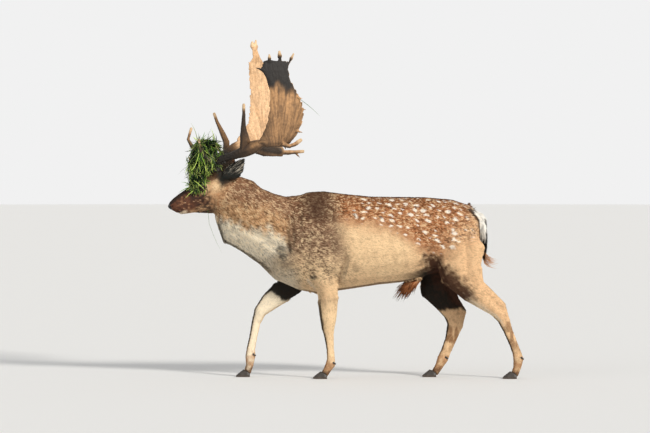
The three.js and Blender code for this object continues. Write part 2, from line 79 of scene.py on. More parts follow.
class Hue(Enum):
    """The buck's colours, as they look in plain light; some of them also stand for painted shade, shadow and
    highlight.
    """

    RUFOUS = "b0744a"
    SADDLE = "8a5533"
    SPOT = "f6eddf"
    SPINE = "2b211b"
    TUFT_DARK = "42291a"
    TUFT_PALE = "f3d8ac"
    FLANK = "f0cfa3"
    BELLY = "e8dcc6"
    HAUNCH = "e6bd91"
    # Dark brown of the groin and of a dot on the hock: partly the fur's own colour, partly painted shade in
    # the groin.
    GROIN = "45281b"
    # The next three hues are painted shade and shadow: a brown shade, a near-black cast shadow, and a
    # blue-grey shade for hollows and the underside of the neck.
    SHADE = "6d5644"
    INNER_DARK = "181612"
    ARMPIT = "3d3f3c"
    SHOULDER = "8e7058"
    WITHERS = "523a2a"
    NAPE = "8a644a"
    NECK = "c69a6f"
    THROAT = "f3e6cd"
    BREAST = "a8947b"
    SHANK = "efcfa4"
    SHANK_DARK = "8f6a49"
    # Near-black front edge of the legs: partly dark hair, partly painted shade on the side turned from the
    # light.
    SHANK_FRONT = "221b17"
    INNER_LEG = "fbeed4"
    CORONET = "6a4a33"
    MUZZLE = "5f3a29"
    BRIDGE = "2c231f"
    CHIN = "d8c4a8"
    CHEEK = "b08660"
    FOREHEAD = "4c3625"
    EYE_RING = "c4a27b"
    NOSE = "14110f"
    LIP = "231a16"
    EAR_BACK = "83644a"
    EAR_TIP = "a0643c"
    # Dark of the ear's hollow, also used for painted shadow under the antlers.
    EAR_HOLLOW = "1d201d"
    EAR_HAIR = "cfc6b6"
    WHITE = "f6f2ea"
    BLACK = "1a1614"
    WISP = "cf9a70"
    BRUSH = "b87447"
    BRUSH_TIP = "2c1c12"
    ANTLER = "b98c5f"
    ANTLER_DARK = "33251b"
    # Near-black of the burr, also used for painted shadow on the antlers.
    BURR = "1c1611"
    ANTLER_PALE = "e2b98e"
    ANTLER_TIP = "dcbf98"
    HORN = "29231f"
    HORN_PALE = "5b4d41"
    IRIS = "2a190f"
    PUPIL = "060505"
    GRASS = "6a9a2b"
    # The next two greens are partly grass colour and partly painted shade and painted light.
    GRASS_DARK = "1f3b13"
    GRASS_LIGHT = "c3da66"
    STRAW = "d9c98a"

    @property
    def linear(self) -> Array:
        """The colour as three linear values."""
        srgb = np.array([int(self.value[i : i + 2], 16) for i in (0, 2, 4)]) / 255
        return np.where(srgb <= 0.04045, srgb / 12.92, ((srgb + 0.055) / 1.055) ** 2.4)


def ramp(low: float, high: float, value: Array) -> Array:
    """A soft step from 0 at low to 1 at high."""
    t = np.clip((value - low) / (high - low), 0, 1)
    return t * t * (3 - 2 * t)


def hump(centre: float, half: float, value: Array) -> Array:
    """A soft hill, 1 at centre and 0 from half away."""
    return 1 - ramp(0, half, np.abs(value - centre))


def unit(vectors: Array) -> Array:
    """Vectors, one to a row, at length 1."""
    vectors = np.asarray(vectors, float)
    return vectors / np.maximum(np.linalg.norm(vectors, axis=-1, keepdims=True), 1e-12)


def norms(vectors: Array) -> Array:
    """The lengths of vectors, one to a row."""
    return np.linalg.norm(vectors, axis=1)


def dice(cells: Array, seed: int) -> Array:
    """An even random number from 0 to 1 for each row of whole numbers."""
    key = cells @ np.array([73856093, 19349663, 83492791])[: cells.shape[1]] + seed * 7919
    key = (key ^ (key >> 13)) * 1274126177
    return ((key ^ (key >> 16)) & 0xFFFF) / 0xFFFF


def noise(points: Array, scale: float | tuple[float, ...], seed: int = 0) -> Array:
    """Smooth noise from 0 to 1 at points, in lumps about scale across.

    Args:
        points: The places.
        scale: The size of the lumps, all round or along each axis.
        seed: Picks the pattern.

    Returns:
        One number to a place.
    """
    cells = points / np.array(scale)
    low = np.floor(cells).astype(np.int64)
    part = cells - low
    part = part * part * (3 - 2 * part)
    total = np.zeros(len(points))
    for corner in np.ndindex(2, 2, 2):
        share = np.prod(np.where(np.array(corner) == 1, part, 1 - part), axis=1)
        total += share * dice(low + corner, seed)
    return total


def plain(hue: Hue, count: int) -> Array:
    """One colour, count times over."""
    return np.tile(hue.linear, (count, 1))


def layered(base: Array, *layers: tuple[Hue, Array]) -> Array:
    """Lays hues over base colours.

    Args:
        base: The colours below, one to a row.
        *layers: Each hue with its mask, the lowest first.

    Returns:
        The colours seen from above.
    """
    for hue, mask in layers:
        base = base + (hue.linear - base) * np.clip(mask, 0, 1)[:, None]
    return base


def far_from(points: Array, start: tuple, end: tuple) -> Array:
    """How far points lie from a line.

    Args:
        points: The places, one to a row.
        start: Where the line starts.
        end: Where it ends.

    Returns:
        One distance to a row.
    """
    a, b = np.array(start, float), np.array(end, float)
    line = b - a
    t = np.clip((points - a) @ line / max(line @ line, 1e-12), 0, 1)
    return norms(points - a - t[:, None] * line)


# ---- mesh helpers ----


def read(mesh: Mesh, what: str = "vertices", name: str = "co", width: int = 3) -> Array:
    """Reads one value of every vertex, edge or loop triangle of a mesh.

    Args:
        mesh: The mesh.
        what: Which of its parts.
        name: The value's name.
        width: How many numbers each part has.

    Returns:
        One row to a part.
    """
    items = getattr(mesh, what)
    kind = np.int64 if name in ("vertices", "loops") else np.float32
    values = np.empty(len(items) * width, kind)
    items.foreach_get(name, values)
    return values.reshape(-1, width) if kind is np.int64 else values.reshape(-1, width).astype(float)


def move(mesh: Mesh, points: Array) -> None:
    """Sets the places of a mesh's vertices."""
    mesh.vertices.foreach_set("co", points.astype(np.float32).ravel())
    mesh.update()


def normals_of(mesh: Mesh) -> Array:
    """The normals of a mesh's vertices."""
    values = np.empty(len(mesh.vertices) * 3, np.float32)
    mesh.vertex_normals.foreach_get("vector", values)
    return values.reshape(-1, 3).astype(float)


def diffuse(values: Array, edges: Array, rounds: int) -> Array:
    """Evens out values, one row to a vertex, over a mesh's edges.

    Args:
        values: The values.
        edges: The vertices of each edge.
        rounds: How far the values spread.

    Returns:
        The evened values.
    """
    count = len(values)
    both = edges.ravel(), edges[:, ::-1].ravel()
    links = np.maximum(np.bincount(both[0], minlength=count), 1)
    for _ in range(rounds):
        means = [np.bincount(both[0], column[both[1]], count) / links for column in values.T]
        values = 0.5 * values + 0.5 * np.stack(means, axis=1)
    return values


def store(mesh: Mesh, name: str, values: Array) -> None:
    """Keeps a colour or a number at every vertex as an attribute."""
    kind = "FLOAT_COLOR" if values.ndim == 2 else "FLOAT"
    layer = mesh.attributes.get(name) or mesh.attributes.new(name, kind, "POINT")
    if values.ndim == 2:
        values = np.concatenate([values, np.ones((len(values), 1))], axis=1)
    layer.data.foreach_set("color" if kind == "FLOAT_COLOR" else "value", values.astype(np.float32).ravel())


def add_object(name: str, mesh: Mesh) -> Object:
    """Puts a mesh in the scene as an object of that name."""
    obj = bpy.data.objects.new(name, mesh)
    mesh.name = name
    bpy.context.scene.collection.objects.link(obj)
    return obj


def finished(obj: Object) -> Mesh:
    """Applies an object's modifiers and returns its mesh."""
    graph = bpy.context.evaluated_depsgraph_get()
    mesh = bpy.data.meshes.new_from_object(obj.evaluated_get(graph))
    obj.modifiers.clear()
    obj.data = mesh
    return mesh


def shade_smooth(mesh: Mesh) -> None:
    """Shades a mesh as one smooth surface."""
    mesh.polygons.foreach_set("use_smooth", np.ones(len(mesh.polygons), bool))
    mesh.update()


@contextmanager
def reshaped(mesh: Mesh) -> Iterator[bmesh.types.BMesh]:
    """Opens a mesh as a bmesh, and puts back what was made of it."""
    bm = bmesh.new()
    bm.from_mesh(mesh)
    yield bm
    bm.to_mesh(mesh)
    bm.free()


def box_of(node: str) -> Array:
    """The lowest and the highest corner of a node."""
    return np.array([list(corner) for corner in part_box(node)])


def middle_of(node: str) -> Array:
    """The middle of a node's box."""
    return np.array(sum(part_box(node), Vector())) / 2


def solid_of(node: str) -> Array:
    """The corners of a node's solid."""
    return read(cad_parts[node].data)


def copies(nodes: list[str]) -> bmesh.types.BMesh:
    """The solids of several nodes as one bmesh with its corners merged."""
    bm = bmesh.new()
    for node in nodes:
        bm.from_mesh(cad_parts[node].data)
    bmesh.ops.remove_doubles(bm, verts=bm.verts, dist=1e-6)
    return bm


def remade(name: str, bm: bmesh.types.BMesh, voxel: float) -> Object:
    """Turns closed forms that touch or overlap into one even skin of quads.

    Args:
        name: The new object's name.
        bm: The forms. It is freed.
        voxel: The size of the quads.

    Returns:
        The object, with any stray bubble inside it removed.
    """
    mesh = bpy.data.meshes.new(name)
    bm.to_mesh(mesh)
    bm.free()
    obj = add_object(name, mesh)
    remesh = obj.modifiers.new("even", "REMESH")
    remesh.mode, remesh.voxel_size = "VOXEL", voxel
    mesh = finished(obj)
    stray = bubbles(mesh)
    if stray.any():
        with reshaped(mesh) as bm:
            bm.verts.ensure_lookup_table()
            bmesh.ops.delete(bm, geom=[bm.verts[i] for i in np.flatnonzero(stray)], context="VERTS")
    return obj


def bubbles(mesh: Mesh, fewest: int = 150) -> Array:
    """Whether each vertex belongs to a loose bit of fewer than fewest vertices."""
    edges = read(mesh, "edges", "vertices", 2)
    label = np.arange(len(mesh.vertices))
    while True:
        lowest = np.minimum(label[edges[:, 0]], label[edges[:, 1]])
        fresh = label.copy()
        np.minimum.at(fresh, edges[:, 0], lowest)
        np.minimum.at(fresh, edges[:, 1], lowest)
        fresh = fresh[fresh]
        if (fresh == label).all():
            return np.bincount(label)[label] < fewest
        label = fresh


def relaxed(obj: Object, rounds: int, weights: Array | None = None) -> Array:
    """Where a mesh's vertices would go if it were smoothed without shrinking.

    Args:
        obj: The object, which keeps its mesh.
        rounds: How far the smoothing reaches.
        weights: How much each vertex takes part, or None for all alike.

    Returns:
        The smoothed places, one row to a vertex.
    """
    if weights is not None:
        group = obj.vertex_groups.new(name="relax")
        steps = np.round(weights * 20).astype(int)
        for step in range(1, 21):
            group.add(np.flatnonzero(steps == step).tolist(), step / 20, "REPLACE")
    smooth = obj.modifiers.new("relax", "SMOOTH")
    smooth.factor = 0.5
    smooth.vertex_group = "" if weights is None else "relax"
    places = []
    for count in (rounds, 2 * rounds):
        smooth.iterations = count
        graph = bpy.context.evaluated_depsgraph_get()
        graph.update()
        done = obj.evaluated_get(graph).to_mesh()
        places.append(read(done))
        obj.evaluated_get(graph).to_mesh_clear()
    obj.modifiers.clear()
    obj.vertex_groups.clear()
    return 2 * places[0] - places[1]


def built(name: str, points: Array, faces: Array) -> Mesh:
    """Makes a mesh from places and from rows of vertex numbers, one row to a face.

    Args:
        name: The mesh's name.
        points: The places.
        faces: The rows.

    Returns:
        The mesh.
    """
    mesh = bpy.data.meshes.new(name)
    count, corners = faces.shape
    mesh.vertices.add(len(points))
    mesh.vertices.foreach_set("co", points.astype(np.float32).ravel())
    mesh.loops.add(count * corners)
    mesh.loops.foreach_set("vertex_index", faces.astype(np.int32).ravel())
    mesh.polygons.add(count)
    mesh.polygons.foreach_set("loop_start", np.arange(0, count * corners, corners, dtype=np.int32))
    mesh.update(calc_edges=True)
    return mesh


def sliver(rings: int, pointed: bool) -> Array:
    """The faces of one closed sliver of triangular section.

    Args:
        rings: How many rings of three corners it has.
        pointed: Whether it ends in a single corner past the last ring.

    Returns:
        Rows of three corner numbers.
    """
    faces = [[0, 2, 1]]
    for a in range((rings - 1) * 3):
        b = a + 1 if a % 3 < 2 else a - 2
        faces += [[a, b, b + 3], [a, b + 3, a + 3]]
    last = (rings - 1) * 3
    if pointed:
        faces += [[last + i, last + (i + 1) % 3, last + 3] for i in range(3)]
    else:
        faces.append([last, last + 1, last + 2])
    return np.array(faces)


def joined(piece: Object, material: bpy.types.Material, nodes: list[str] = ()) -> None:
    """Puts a finished piece on the part.

    Args:
        piece: The piece.
        material: Its material.
        nodes: The solids it stands for.
    """
    piece.data.materials.clear()
    piece.data.materials.append(material)
    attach(piece, "root")
    if nodes:
        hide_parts(*nodes)
    LOG.info("%s: %d faces", piece.name, len(piece.data.polygons))


# ---- the buck's build ----


@dataclass(frozen=True)
class HeadFrame:
    """The head's own frame: forward along the muzzle, out of the left cheek, and up off the brow.

    Its origin is the poll, where the skull meets the neck.
    """

    origin: Array
    axes: Array

    PITCH = math.radians(20)
    EYE = np.array([0.12, 0.053, 0.03])

    @classmethod
    def from_eyes(cls) -> HeadFrame:
        """Works the frame out from where the two eyeballs are."""
        left, right = middle_of("eye_left"), middle_of("eye_right")
        out = unit(left - right)
        ahead = np.array([out[1], -out[0], 0.0])
        forward = ahead * math.cos(cls.PITCH) - np.array([0, 0, math.sin(cls.PITCH)])
        up = np.cross(forward, out)
        middle = (left + right) / 2
        return cls(middle - cls.EYE[0] * forward - cls.EYE[2] * up, np.array([forward, out, up]))

    def local(self, points: Array) -> Array:
        """Points of the part in the head's frame."""
        return (points - self.origin) @ self.axes.T

    def folded(self, points: Array) -> Array:
        """Points of the part in the head's frame, both cheeks laid on the left one."""
        return np.abs(self.local(points)) * [0, 1, 0] + self.local(points) * [1, 0, 1]

    def turned(self, vectors: Array) -> Array:
        """Directions of the part in the head's frame."""
        return vectors @ self.axes.T

    def world(self, points: Array) -> Array:
        """Points of the head's frame in the part's."""
        return points @ self.axes + self.origin


@dataclass(frozen=True)
class Body:
    """The body's landmarks, taken from the solids."""

    rump: float
    middle: float
    head: HeadFrame
    crest: Array

    @classmethod
    def from_frame(cls) -> Body:
        """Reads the landmarks: the rump, the middle plane, the head and the line of the back."""
        feet = [middle_of(f"foreleg_{side}_cannon") for side in SIDES]
        trunk = solid_of("trunk")
        steps = np.arange(trunk[:, 0].min(), trunk[:, 0].max(), 0.06)
        tops = [trunk[np.abs(trunk[:, 0] - x) < 0.07, 2].max() for x in steps]
        rump = float(trunk[:, 0].max())
        crest = np.array([rump - steps[::-1], tops[::-1]])
        return cls(rump, float(sum(feet)[1] / 2), HeadFrame.from_eyes(), crest)

    def seen(self, points: Array) -> Array:
        """Points as distance ahead of the rump, distance out from the middle, and height."""
        return np.stack([self.rump - points[:, 0], points[:, 1] - self.middle, points[:, 2]], axis=1)


class Rows:
    """A record of arrays with one row to a place."""

    def only(self, keep: Array) -> Self:
        """The rows that a mask or a list of numbers keeps."""
        return type(self)(*(getattr(self, field)[keep] for field in self.__dataclass_fields__))


class Zone(IntEnum):
    """The parts of the coat that differ in length, lie and markings."""

    TRUNK = 0
    NECK = 1
    HEAD = 2
    EAR = 3
    THIGH = 4
    SHANK = 5
    FOOT = 6
    TAIL = 7
    SHEATH = 8


@dataclass(frozen=True)
class Pelt:
    """How the coat grows in one zone.

    depth is how far the skin lies inside the solid, relax is how much the solid's facets are smoothed,
    and lie is the way the hair points, or None where it points down the limb. contrast tells how much
    single tufts differ.
    """

    endings: tuple[str, ...]
    slot: str
    depth: float
    relax: float
    length: float
    width: float
    lift: float
    spacing: float
    contrast: float
    lie: tuple[float, float, float] | None = None


PELTS = {
    Zone.TRUNK: Pelt(("trunk",), "coat", 0.007, 1.0, 0.0155, 0.0036, 0.0046, 0.0032, 0.25, (1.0, 0.0, -0.28)),
    Zone.NECK: Pelt(("neck",), "coat", 0.008, 0.9, 0.021, 0.004, 0.006, 0.0035, 0.68, (0.8, 0.0, -0.6)),
    Zone.HEAD: Pelt(("head",), "coat", 0.0022, 0.25, 0.0085, 0.0022, 0.0016, 0.0028, 0.34, (0.9, 0.2, 0.15)),
    Zone.EAR: Pelt(
        ("ear_left", "ear_right"), "coat", 0.0009, 0.08, 0.01, 0.002, 0.0014, 0.0026, 0.3, (0.8, 0.0, 0.6)
    ),
    Zone.THIGH: Pelt(("thigh", "forearm"), "leg_coat", 0.003, 0.5, 0.014, 0.0032, 0.0032, 0.0032, 0.28),
    Zone.SHANK: Pelt(("cannon",), "leg_coat", 0.0024, 0.18, 0.0095, 0.0025, 0.0019, 0.0029, 0.2),
    Zone.FOOT: Pelt(("pastern",), "leg_coat", 0.0024, 0.18, 0.0095, 0.0025, 0.002, 0.0029, 0.25),
    Zone.TAIL: Pelt(("tail",), "tail", 0.002, 0.3, 0.03, 0.0032, 0.005, 0.004, 0.1, (0.1, 0.0, -1.0)),
    Zone.SHEATH: Pelt(("sheath",), "sheath", 0.005, 0.3, 0.02, 0.003, 0.004, 0.0038, 0.35, (-0.7, 0.0, -0.7)),
}


def of_zones(field: str) -> Array:
    """One measure of every zone's pelt, in the zones' order."""
    return np.array([getattr(PELTS[zone], field) for zone in Zone])


@dataclass(frozen=True)
class Fold:
    """A soft ridge, or a hollow where height is below 0, pressed into the skin of one or both sides.

    start and end are distance ahead of the rump and height, and side is -1, 1 or 0 for both.
    """

    start: tuple[float, float]
    end: tuple[float, float]
    reach: float
    height: float
    side: int = 0
    all_round: bool = False


BODY_FOLDS = {
    "blade_ridge": Fold((0.835, 0.875), (0.9, 0.64), 0.026, 0.0045),
    "behind_blade": Fold((0.755, 0.8), (0.735, 0.6), 0.038, -0.0065),
    "before_blade": Fold((0.93, 0.8), (0.96, 0.64), 0.03, -0.005),
    "shoulder_point": Fold((0.905, 0.555), (0.885, 0.53), 0.045, 0.007),
    "upper_arm": Fold((0.8, 0.59), (0.735, 0.535), 0.045, 0.0065),
    "elbow_crease": Fold((0.655, 0.575), (0.69, 0.455), 0.011, -0.008),
    "elbow_fold": Fold((0.64, 0.56), (0.668, 0.47), 0.011, 0.0055),
    "under_tail": Fold((0.01, 0.665), (0.004, 0.605), 0.036, 0.0045, 0, True),
    "forearm_left": Fold((0.8, 0.43), (0.752, 0.3), 0.05, 0.0055, -1, True),
    "flank_hollow": Fold((0.33, 0.8), (0.3, 0.73), 0.05, -0.008),
    "hip_point": Fold((0.275, 0.845), (0.255, 0.835), 0.028, 0.0055),
    "flank_fold": Fold((0.275, 0.6), (0.215, 0.47), 0.024, -0.006),
    "stifle": Fold((0.2, 0.52), (0.17, 0.45), 0.045, 0.005),
    "haunch_groove": Fold((0.105, 0.74), (0.08, 0.47), 0.014, -0.0045),
    "haunch_back": Fold((0.05, 0.7), (0.04, 0.5), 0.03, 0.004),
    "vein_groove": Fold((1.215, 0.77), (0.93, 0.59), 0.02, -0.0045),
    "nape_muscle": Fold((1.2, 0.87), (0.95, 0.8), 0.045, 0.0045),
    "throat_fold": Fold((1.235, 0.8), (1.18, 0.69), 0.012, -0.003),
    "larynx": Fold((1.262, 0.668), (1.255, 0.655), 0.02, 0.004),
    "tendon_hollow_left": Fold((0.018, 0.44), (-0.085, 0.325), 0.013, -0.007, -1),
    "tendon_hollow_right": Fold((0.172, 0.43), (0.112, 0.325), 0.013, -0.007, 1),
    "cannon_groove_left": Fold((-0.112, 0.27), (-0.157, 0.15), 0.006, -0.0028, -1),
    "cannon_groove_right": Fold((0.118, 0.26), (0.16, 0.15), 0.006, -0.0028, 1),
    "foreleg_groove_left": Fold((0.722, 0.24), (0.716, 0.12), 0.006, -0.0026, -1),
    "foreleg_groove_right": Fold((1.07, 0.26), (1.094, 0.14), 0.006, -0.0026, 1),
    "knee_left": Fold((0.742, 0.285), (0.74, 0.262), 0.02, 0.003, -1),
    "knee_right": Fold((1.058, 0.32), (1.064, 0.3), 0.02, 0.003, 1),
}
RIBS = 6

# Folds of the head in its own frame: start, end, reach, height, all mirrored.
FACE_FOLDS = {
    "tear_pit": ((0.141, 0.051, 0.02), (0.163, 0.043, 0.007), 0.0045, -0.0048),
    "face_crest": ((0.1, 0.06, -0.014), (0.185, 0.043, -0.014), 0.012, 0.0022),
    "nose_hollow": ((0.15, 0.04, 0.034), (0.195, 0.03, 0.022), 0.014, -0.0035),
    "cheek": ((0.07, 0.062, -0.04), (0.04, 0.062, -0.06), 0.03, 0.005),
    "jaw_edge": ((0.12, 0.045, -0.075), (0.03, 0.05, -0.098), 0.012, 0.0025),
    "throat_latch": ((0.02, 0.062, -0.01), (0.006, 0.055, -0.085), 0.016, -0.005),
    "temple": ((0.085, 0.058, 0.05), (0.07, 0.058, 0.04), 0.018, -0.0045),
    "brow": ((0.142, 0.046, 0.052), (0.1, 0.055, 0.056), 0.009, 0.0032),
    "muzzle_side": ((0.262, 0.03, -0.004), (0.235, 0.033, -0.01), 0.014, 0.002),
    "mouth": ((0.3, 0.006, -0.0335), (0.226, 0.036, -0.04), 0.0024, -0.0055),
    "lower_lip": ((0.292, 0.008, -0.04), (0.24, 0.03, -0.046), 0.005, 0.0018),
    "nostril": ((0.2935, 0.012, -0.013), (0.284, 0.0225, -0.002), 0.0032, -0.0105),
    "nostril_rim": ((0.289, 0.017, 0.003), (0.28, 0.0225, 0.006), 0.0042, 0.0024),
    "lip_split": ((0.302, 0.0, -0.01), (0.298, 0.0, -0.032), 0.0016, -0.002),
}


# ---- markings ----


@dataclass(frozen=True)
class Spots:
    """White spots in loose rows along the back.

    Their sizes are half lengths; slant leans the ovals down towards the rear.
    """

    pitch: float = 0.043
    row: float = 0.03
    longest: float = 0.0108
    shortest: float = 0.007
    slant: float = 0.35
    share: float = 0.8

    def mask(self, along: Array, down: Array, seed: int) -> Array:
        """How white the coat is.

        Args:
            along: Distance along the back.
            down: Distance from the spine over the flank.
            seed: Picks the side's own scatter.

        Returns:
            1 inside a spot and 0 between them.
        """
        lane = np.floor(down / self.row).astype(np.int64)
        white = np.zeros(len(along))
        for step in (-1, 0, 1):
            row = lane + step
            shift = dice(row[:, None], seed) * self.pitch
            cell = np.floor((along + shift) / self.pitch).astype(np.int64)
            for hop in (-1, 0, 1):
                key = np.stack([cell + hop, row], axis=1)
                luck = [dice(key, seed + n) for n in range(1, 5)]
                x = along + shift - (cell + hop + 0.5 + 0.46 * (luck[0] - 0.5)) * self.pitch
                y = down - (row + 0.5 + 0.4 * (luck[1] - 0.5)) * self.row
                x = x + self.slant * y
                size = 0.52 + 0.84 * luck[2]
                far = np.hypot(x / (self.longest * size), y / (self.shortest * size))
                white = np.maximum(white, (1 - ramp(0.78, 1.15, far)) * (luck[3] < self.share))
        return white


@dataclass(frozen=True)
class Patch(Rows):
    """Places on the coat, as the markings see them.

    ahead is how far a place lies ahead of the rump, and side how far out from the middle plane.
    """

    points: Array
    normals: Array
    ahead: Array
    side: Array
    height: Array

    @classmethod
    def on(cls, body: Body, points: Array, normals: Array) -> Patch:
        """Takes places on the skin, with heights that waver so that no marking has a straight edge.

        Args:
            body: The landmarks.
            points: The places.
            normals: The skin's normals there.

        Returns:
            The patch.
        """
        ahead, side, height = body.seen(points).T
        wobble = (noise(points, 0.03, 3) - 0.5) * 0.03 + (noise(points, 0.012, 4) - 0.5) * 0.014
        return cls(points, normals, ahead, side, height + wobble)

    @property
    def inward(self) -> Array:
        """How squarely the coat faces the middle plane."""
        return -self.normals[:, 1] * np.sign(self.side)

    @property
    def profile(self) -> Array:
        """The places as seen from the side: distance ahead and height."""
        return np.stack([self.ahead, self.height], axis=1)

    def near(self, line: Line) -> Array:
        """How far the places lie from a line, seen from the side."""
        return far_from(self.profile, *line)

    def flat(self, hue: Hue) -> Array:
        """One colour for all the places."""
        return plain(hue, len(self.points))


@dataclass(frozen=True)
class Markings:
    """The colours of the coat, the same for the skin and for the hair on it.

    Each zone's method takes a Patch and returns one linear colour for each of its places.
    """

    body: Body
    spots: Spots = Spots()
    beads: Spots = Spots(0.03, 0.017, 0.008, 0.005, 0.2, 0.85)

    # Edges of the markings, as rows of distances ahead of the rump and of heights there.
    SADDLE_EDGE = (
        (0.0, 0.06, 0.2, 0.3, 0.395, 0.49, 0.632, 0.7),
        (0.67, 0.645, 0.585, 0.615, 0.69, 0.722, 0.735, 0.75),
    )
    THROAT_EDGE = (
        (0.84, 0.9, 0.923, 0.961, 1.013, 1.081, 1.149, 1.217, 1.273),
        (0.575, 0.6, 0.628, 0.668, 0.698, 0.703, 0.722, 0.738, 0.752),
    )
    # Half width of the dark line of the back against distance ahead of the rump.
    SPINE_WIDTH = ((0.0, 0.03, 0.1, 0.2, 0.45, 0.7, 0.82), (0.009, 0.01, 0.014, 0.018, 0.018, 0.014, 0.01))
    # The white rump patch: rows of heights, of distances ahead of its edge, and of its half widths.
    RUMP_PATCH = (
        (0.6, 0.665, 0.69, 0.712, 0.765, 0.8, 0.83),
        (-0.02, 0.002, 0.006, 0.01, 0.024, 0.041, 0.06),
        (0.018, 0.034, 0.042, 0.048, 0.054, 0.056, 0.05),
    )
    RUMP_TOP = 0.786
    # Dark streaks before the shoulder: line, reach, strength.
    STREAKS = (
        (((0.928, 0.73), (0.914, 0.6)), 0.005, 0.85),
        (((0.902, 0.765), (0.895, 0.64)), 0.004, 0.6),
        (((0.86, 0.77), (0.865, 0.72)), 0.004, 0.5),
    )
    # Lines and dots of the markings and of painted shade, seen from the side.
    ARM_STREAK = ((0.832, 0.478), (0.8, 0.432))
    ELBOW_CREASE = ((0.655, 0.575), (0.69, 0.455))
    BELLY_SMUDGE = ((0.604, 0.519), (0.604, 0.519))
    NECK_HOLLOW = ((0.965, 0.612), (0.948, 0.575))
    ELBOW_HOLLOW = ((0.812, 0.487), (0.797, 0.47))
    HOCK_DOT = ((-0.058, 0.306), (-0.066, 0.29))
    GRIZZLED_GROIN = ((0.25, 0.56), (0.14, 0.44))
    # The two groin lines carry dark fur and painted shade.
    TRUNK_GROIN = ((0.252, 0.556), (0.15, 0.455))
    THIGH_GROIN = ((0.235, 0.535), (0.095, 0.395))
    MOUTH = ((0.3, 0.006, -0.035), (0.228, 0.036, -0.0405))
    # Axes of the streaks of hair in the ear, and the slope of the neck's underside, where shade is painted.
    EAR_AXES = np.array([[0.8, 0.6, 0.0], [0.0, 0.0, 1.0], [0.6, -0.8, 0.0]])
    UNDER_NECK = np.array([-0.76, 0.0, -0.65])
    LEAST_SHARE = 0.004

    def colours(self, points: Array, normals: Array, zones: Array) -> Array:
        """The coat's colour at points.

        Args:
            points: Places on the skin.
            normals: The skin's normals there.
            zones: The share of each zone there, one column to a zone.

        Returns:
            One linear colour to a row.
        """
        patch = Patch.on(self.body, points, normals)
        total = np.zeros((len(points), 3))
        for zone in Zone:
            share = zones[:, zone]
            here = share > self.LEAST_SHARE
            if here.any():
                total[here] += share[here, None] * getattr(self, zone.name.lower())(patch.only(here))
        return total

    def grizzle(self, points: Array, zones: Array) -> Array:
        """How strongly single tufts differ from each other.

        Args:
            points: Places on the skin.
            zones: The share of each zone there.

        Returns:
            A number from 0 to 1 for each place.
        """
        seen = self.body.seen(points)
        ahead, height = seen[:, 0], seen[:, 2]
        share = {zone: zones[:, zone] for zone in Zone}
        saddle = ramp(0.0, 0.05, height - np.interp(ahead, *self.SADDLE_EDGE))
        shoulder = hump(0.84, 0.24, ahead + 0.2 * (0.7 - height)) * ramp(0.42, 0.5, height)
        groin = ramp(0.09, 0.03, far_from(seen[:, [0, 2]], *self.GRIZZLED_GROIN))
        pale_throat = share[Zone.NECK] * ramp(0.03, -0.05, height - np.interp(ahead, *self.THROAT_EDGE))
        brow = share[Zone.HEAD] * ramp(0.09, 0.02, self.body.head.local(points)[:, 0])
        change = (share[Zone.TRUNK] + share[Zone.THIGH]) * (0.5 * saddle + 0.58 * shoulder + 0.12 * groin)
        return np.clip(zones @ of_zones("contrast") + change - 0.12 * pale_throat + 0.22 * brow, 0, 0.88)

    def over_back(self, at: Patch) -> Array:
        """Distance from the spine over the flank, taking the trunk as an oval."""
        rise = at.height - np.interp(at.ahead, *self.body.crest) + 0.215
        return 0.19 * np.arctan2(np.abs(at.side) / 0.155, rise / 0.215)

    def trunk(self, at: Patch) -> Array:
        """Flank, saddle, spots, belly, shoulder, breast, groin and rump, with painted shade along the belly's
        edge, in the hollows and creases, and painted shadow under the flank and on inner sides.
        """
        ahead, height, up = at.ahead, at.height, at.normals[:, 2]
        down, above = self.over_back(at), height - np.interp(ahead, *self.SADDLE_EDGE)
        rear_fade = ramp(0.0, 0.14, ahead - 0.1 * ramp(0.76, 0.68, height))
        under = (height < 0.58) * ramp(0.2, 0.3, ahead)
        colour = layered(
            at.flat(Hue.FLANK),
            (Hue.HAUNCH, 0.85 * ramp(0.4, 0.22, ahead + 0.35 * (height - 0.6))),
            (Hue.HAUNCH, 0.4 * ramp(0.52, 0.46, height)),
            (Hue.RUFOUS, ramp(-0.055, 0.045, above) * (0.4 + 0.6 * rear_fade)),
            (Hue.SADDLE, 0.85 * ramp(0.17, 0.06, down)),
            # Painted shade: a dark band along the belly's lower edge.
            (Hue.SHADE, 0.8 * ramp(-0.9, -0.96, up) * under),
            (Hue.BELLY, 0.7 * ramp(-0.975, -0.997, up) * under),
        )
        mottle = noise(at.points, (0.016, 0.03, 0.02), 5)
        grey = at.flat(Hue.SHOULDER) * (0.75 + 0.5 * mottle)[:, None]
        grey = layered(grey, (Hue.SHANK, 0.7 * ramp(0.64, 0.5, height)))
        shoulder = ramp(0.62, 0.73, ahead + 0.25 * (0.7 - height)) * ramp(0.42, 0.52, height)
        colour += (grey - colour) * shoulder[:, None]
        throat = ramp(-0.015, 0.02, np.interp(ahead, *self.THROAT_EDGE) - height) * ramp(0.57, 0.62, height)
        crease = ramp(0.011, 0.002, at.near(self.ELBOW_CREASE)) * (up > -0.8)
        breast = ramp(0.88, 0.96, ahead + 0.3 * (0.62 - height)) * ramp(0.7, 0.62, height)
        rows = ramp(0.66, 0.6, ahead) * ramp(-0.01, 0.02, above) * ramp(0.058, 0.064, down)
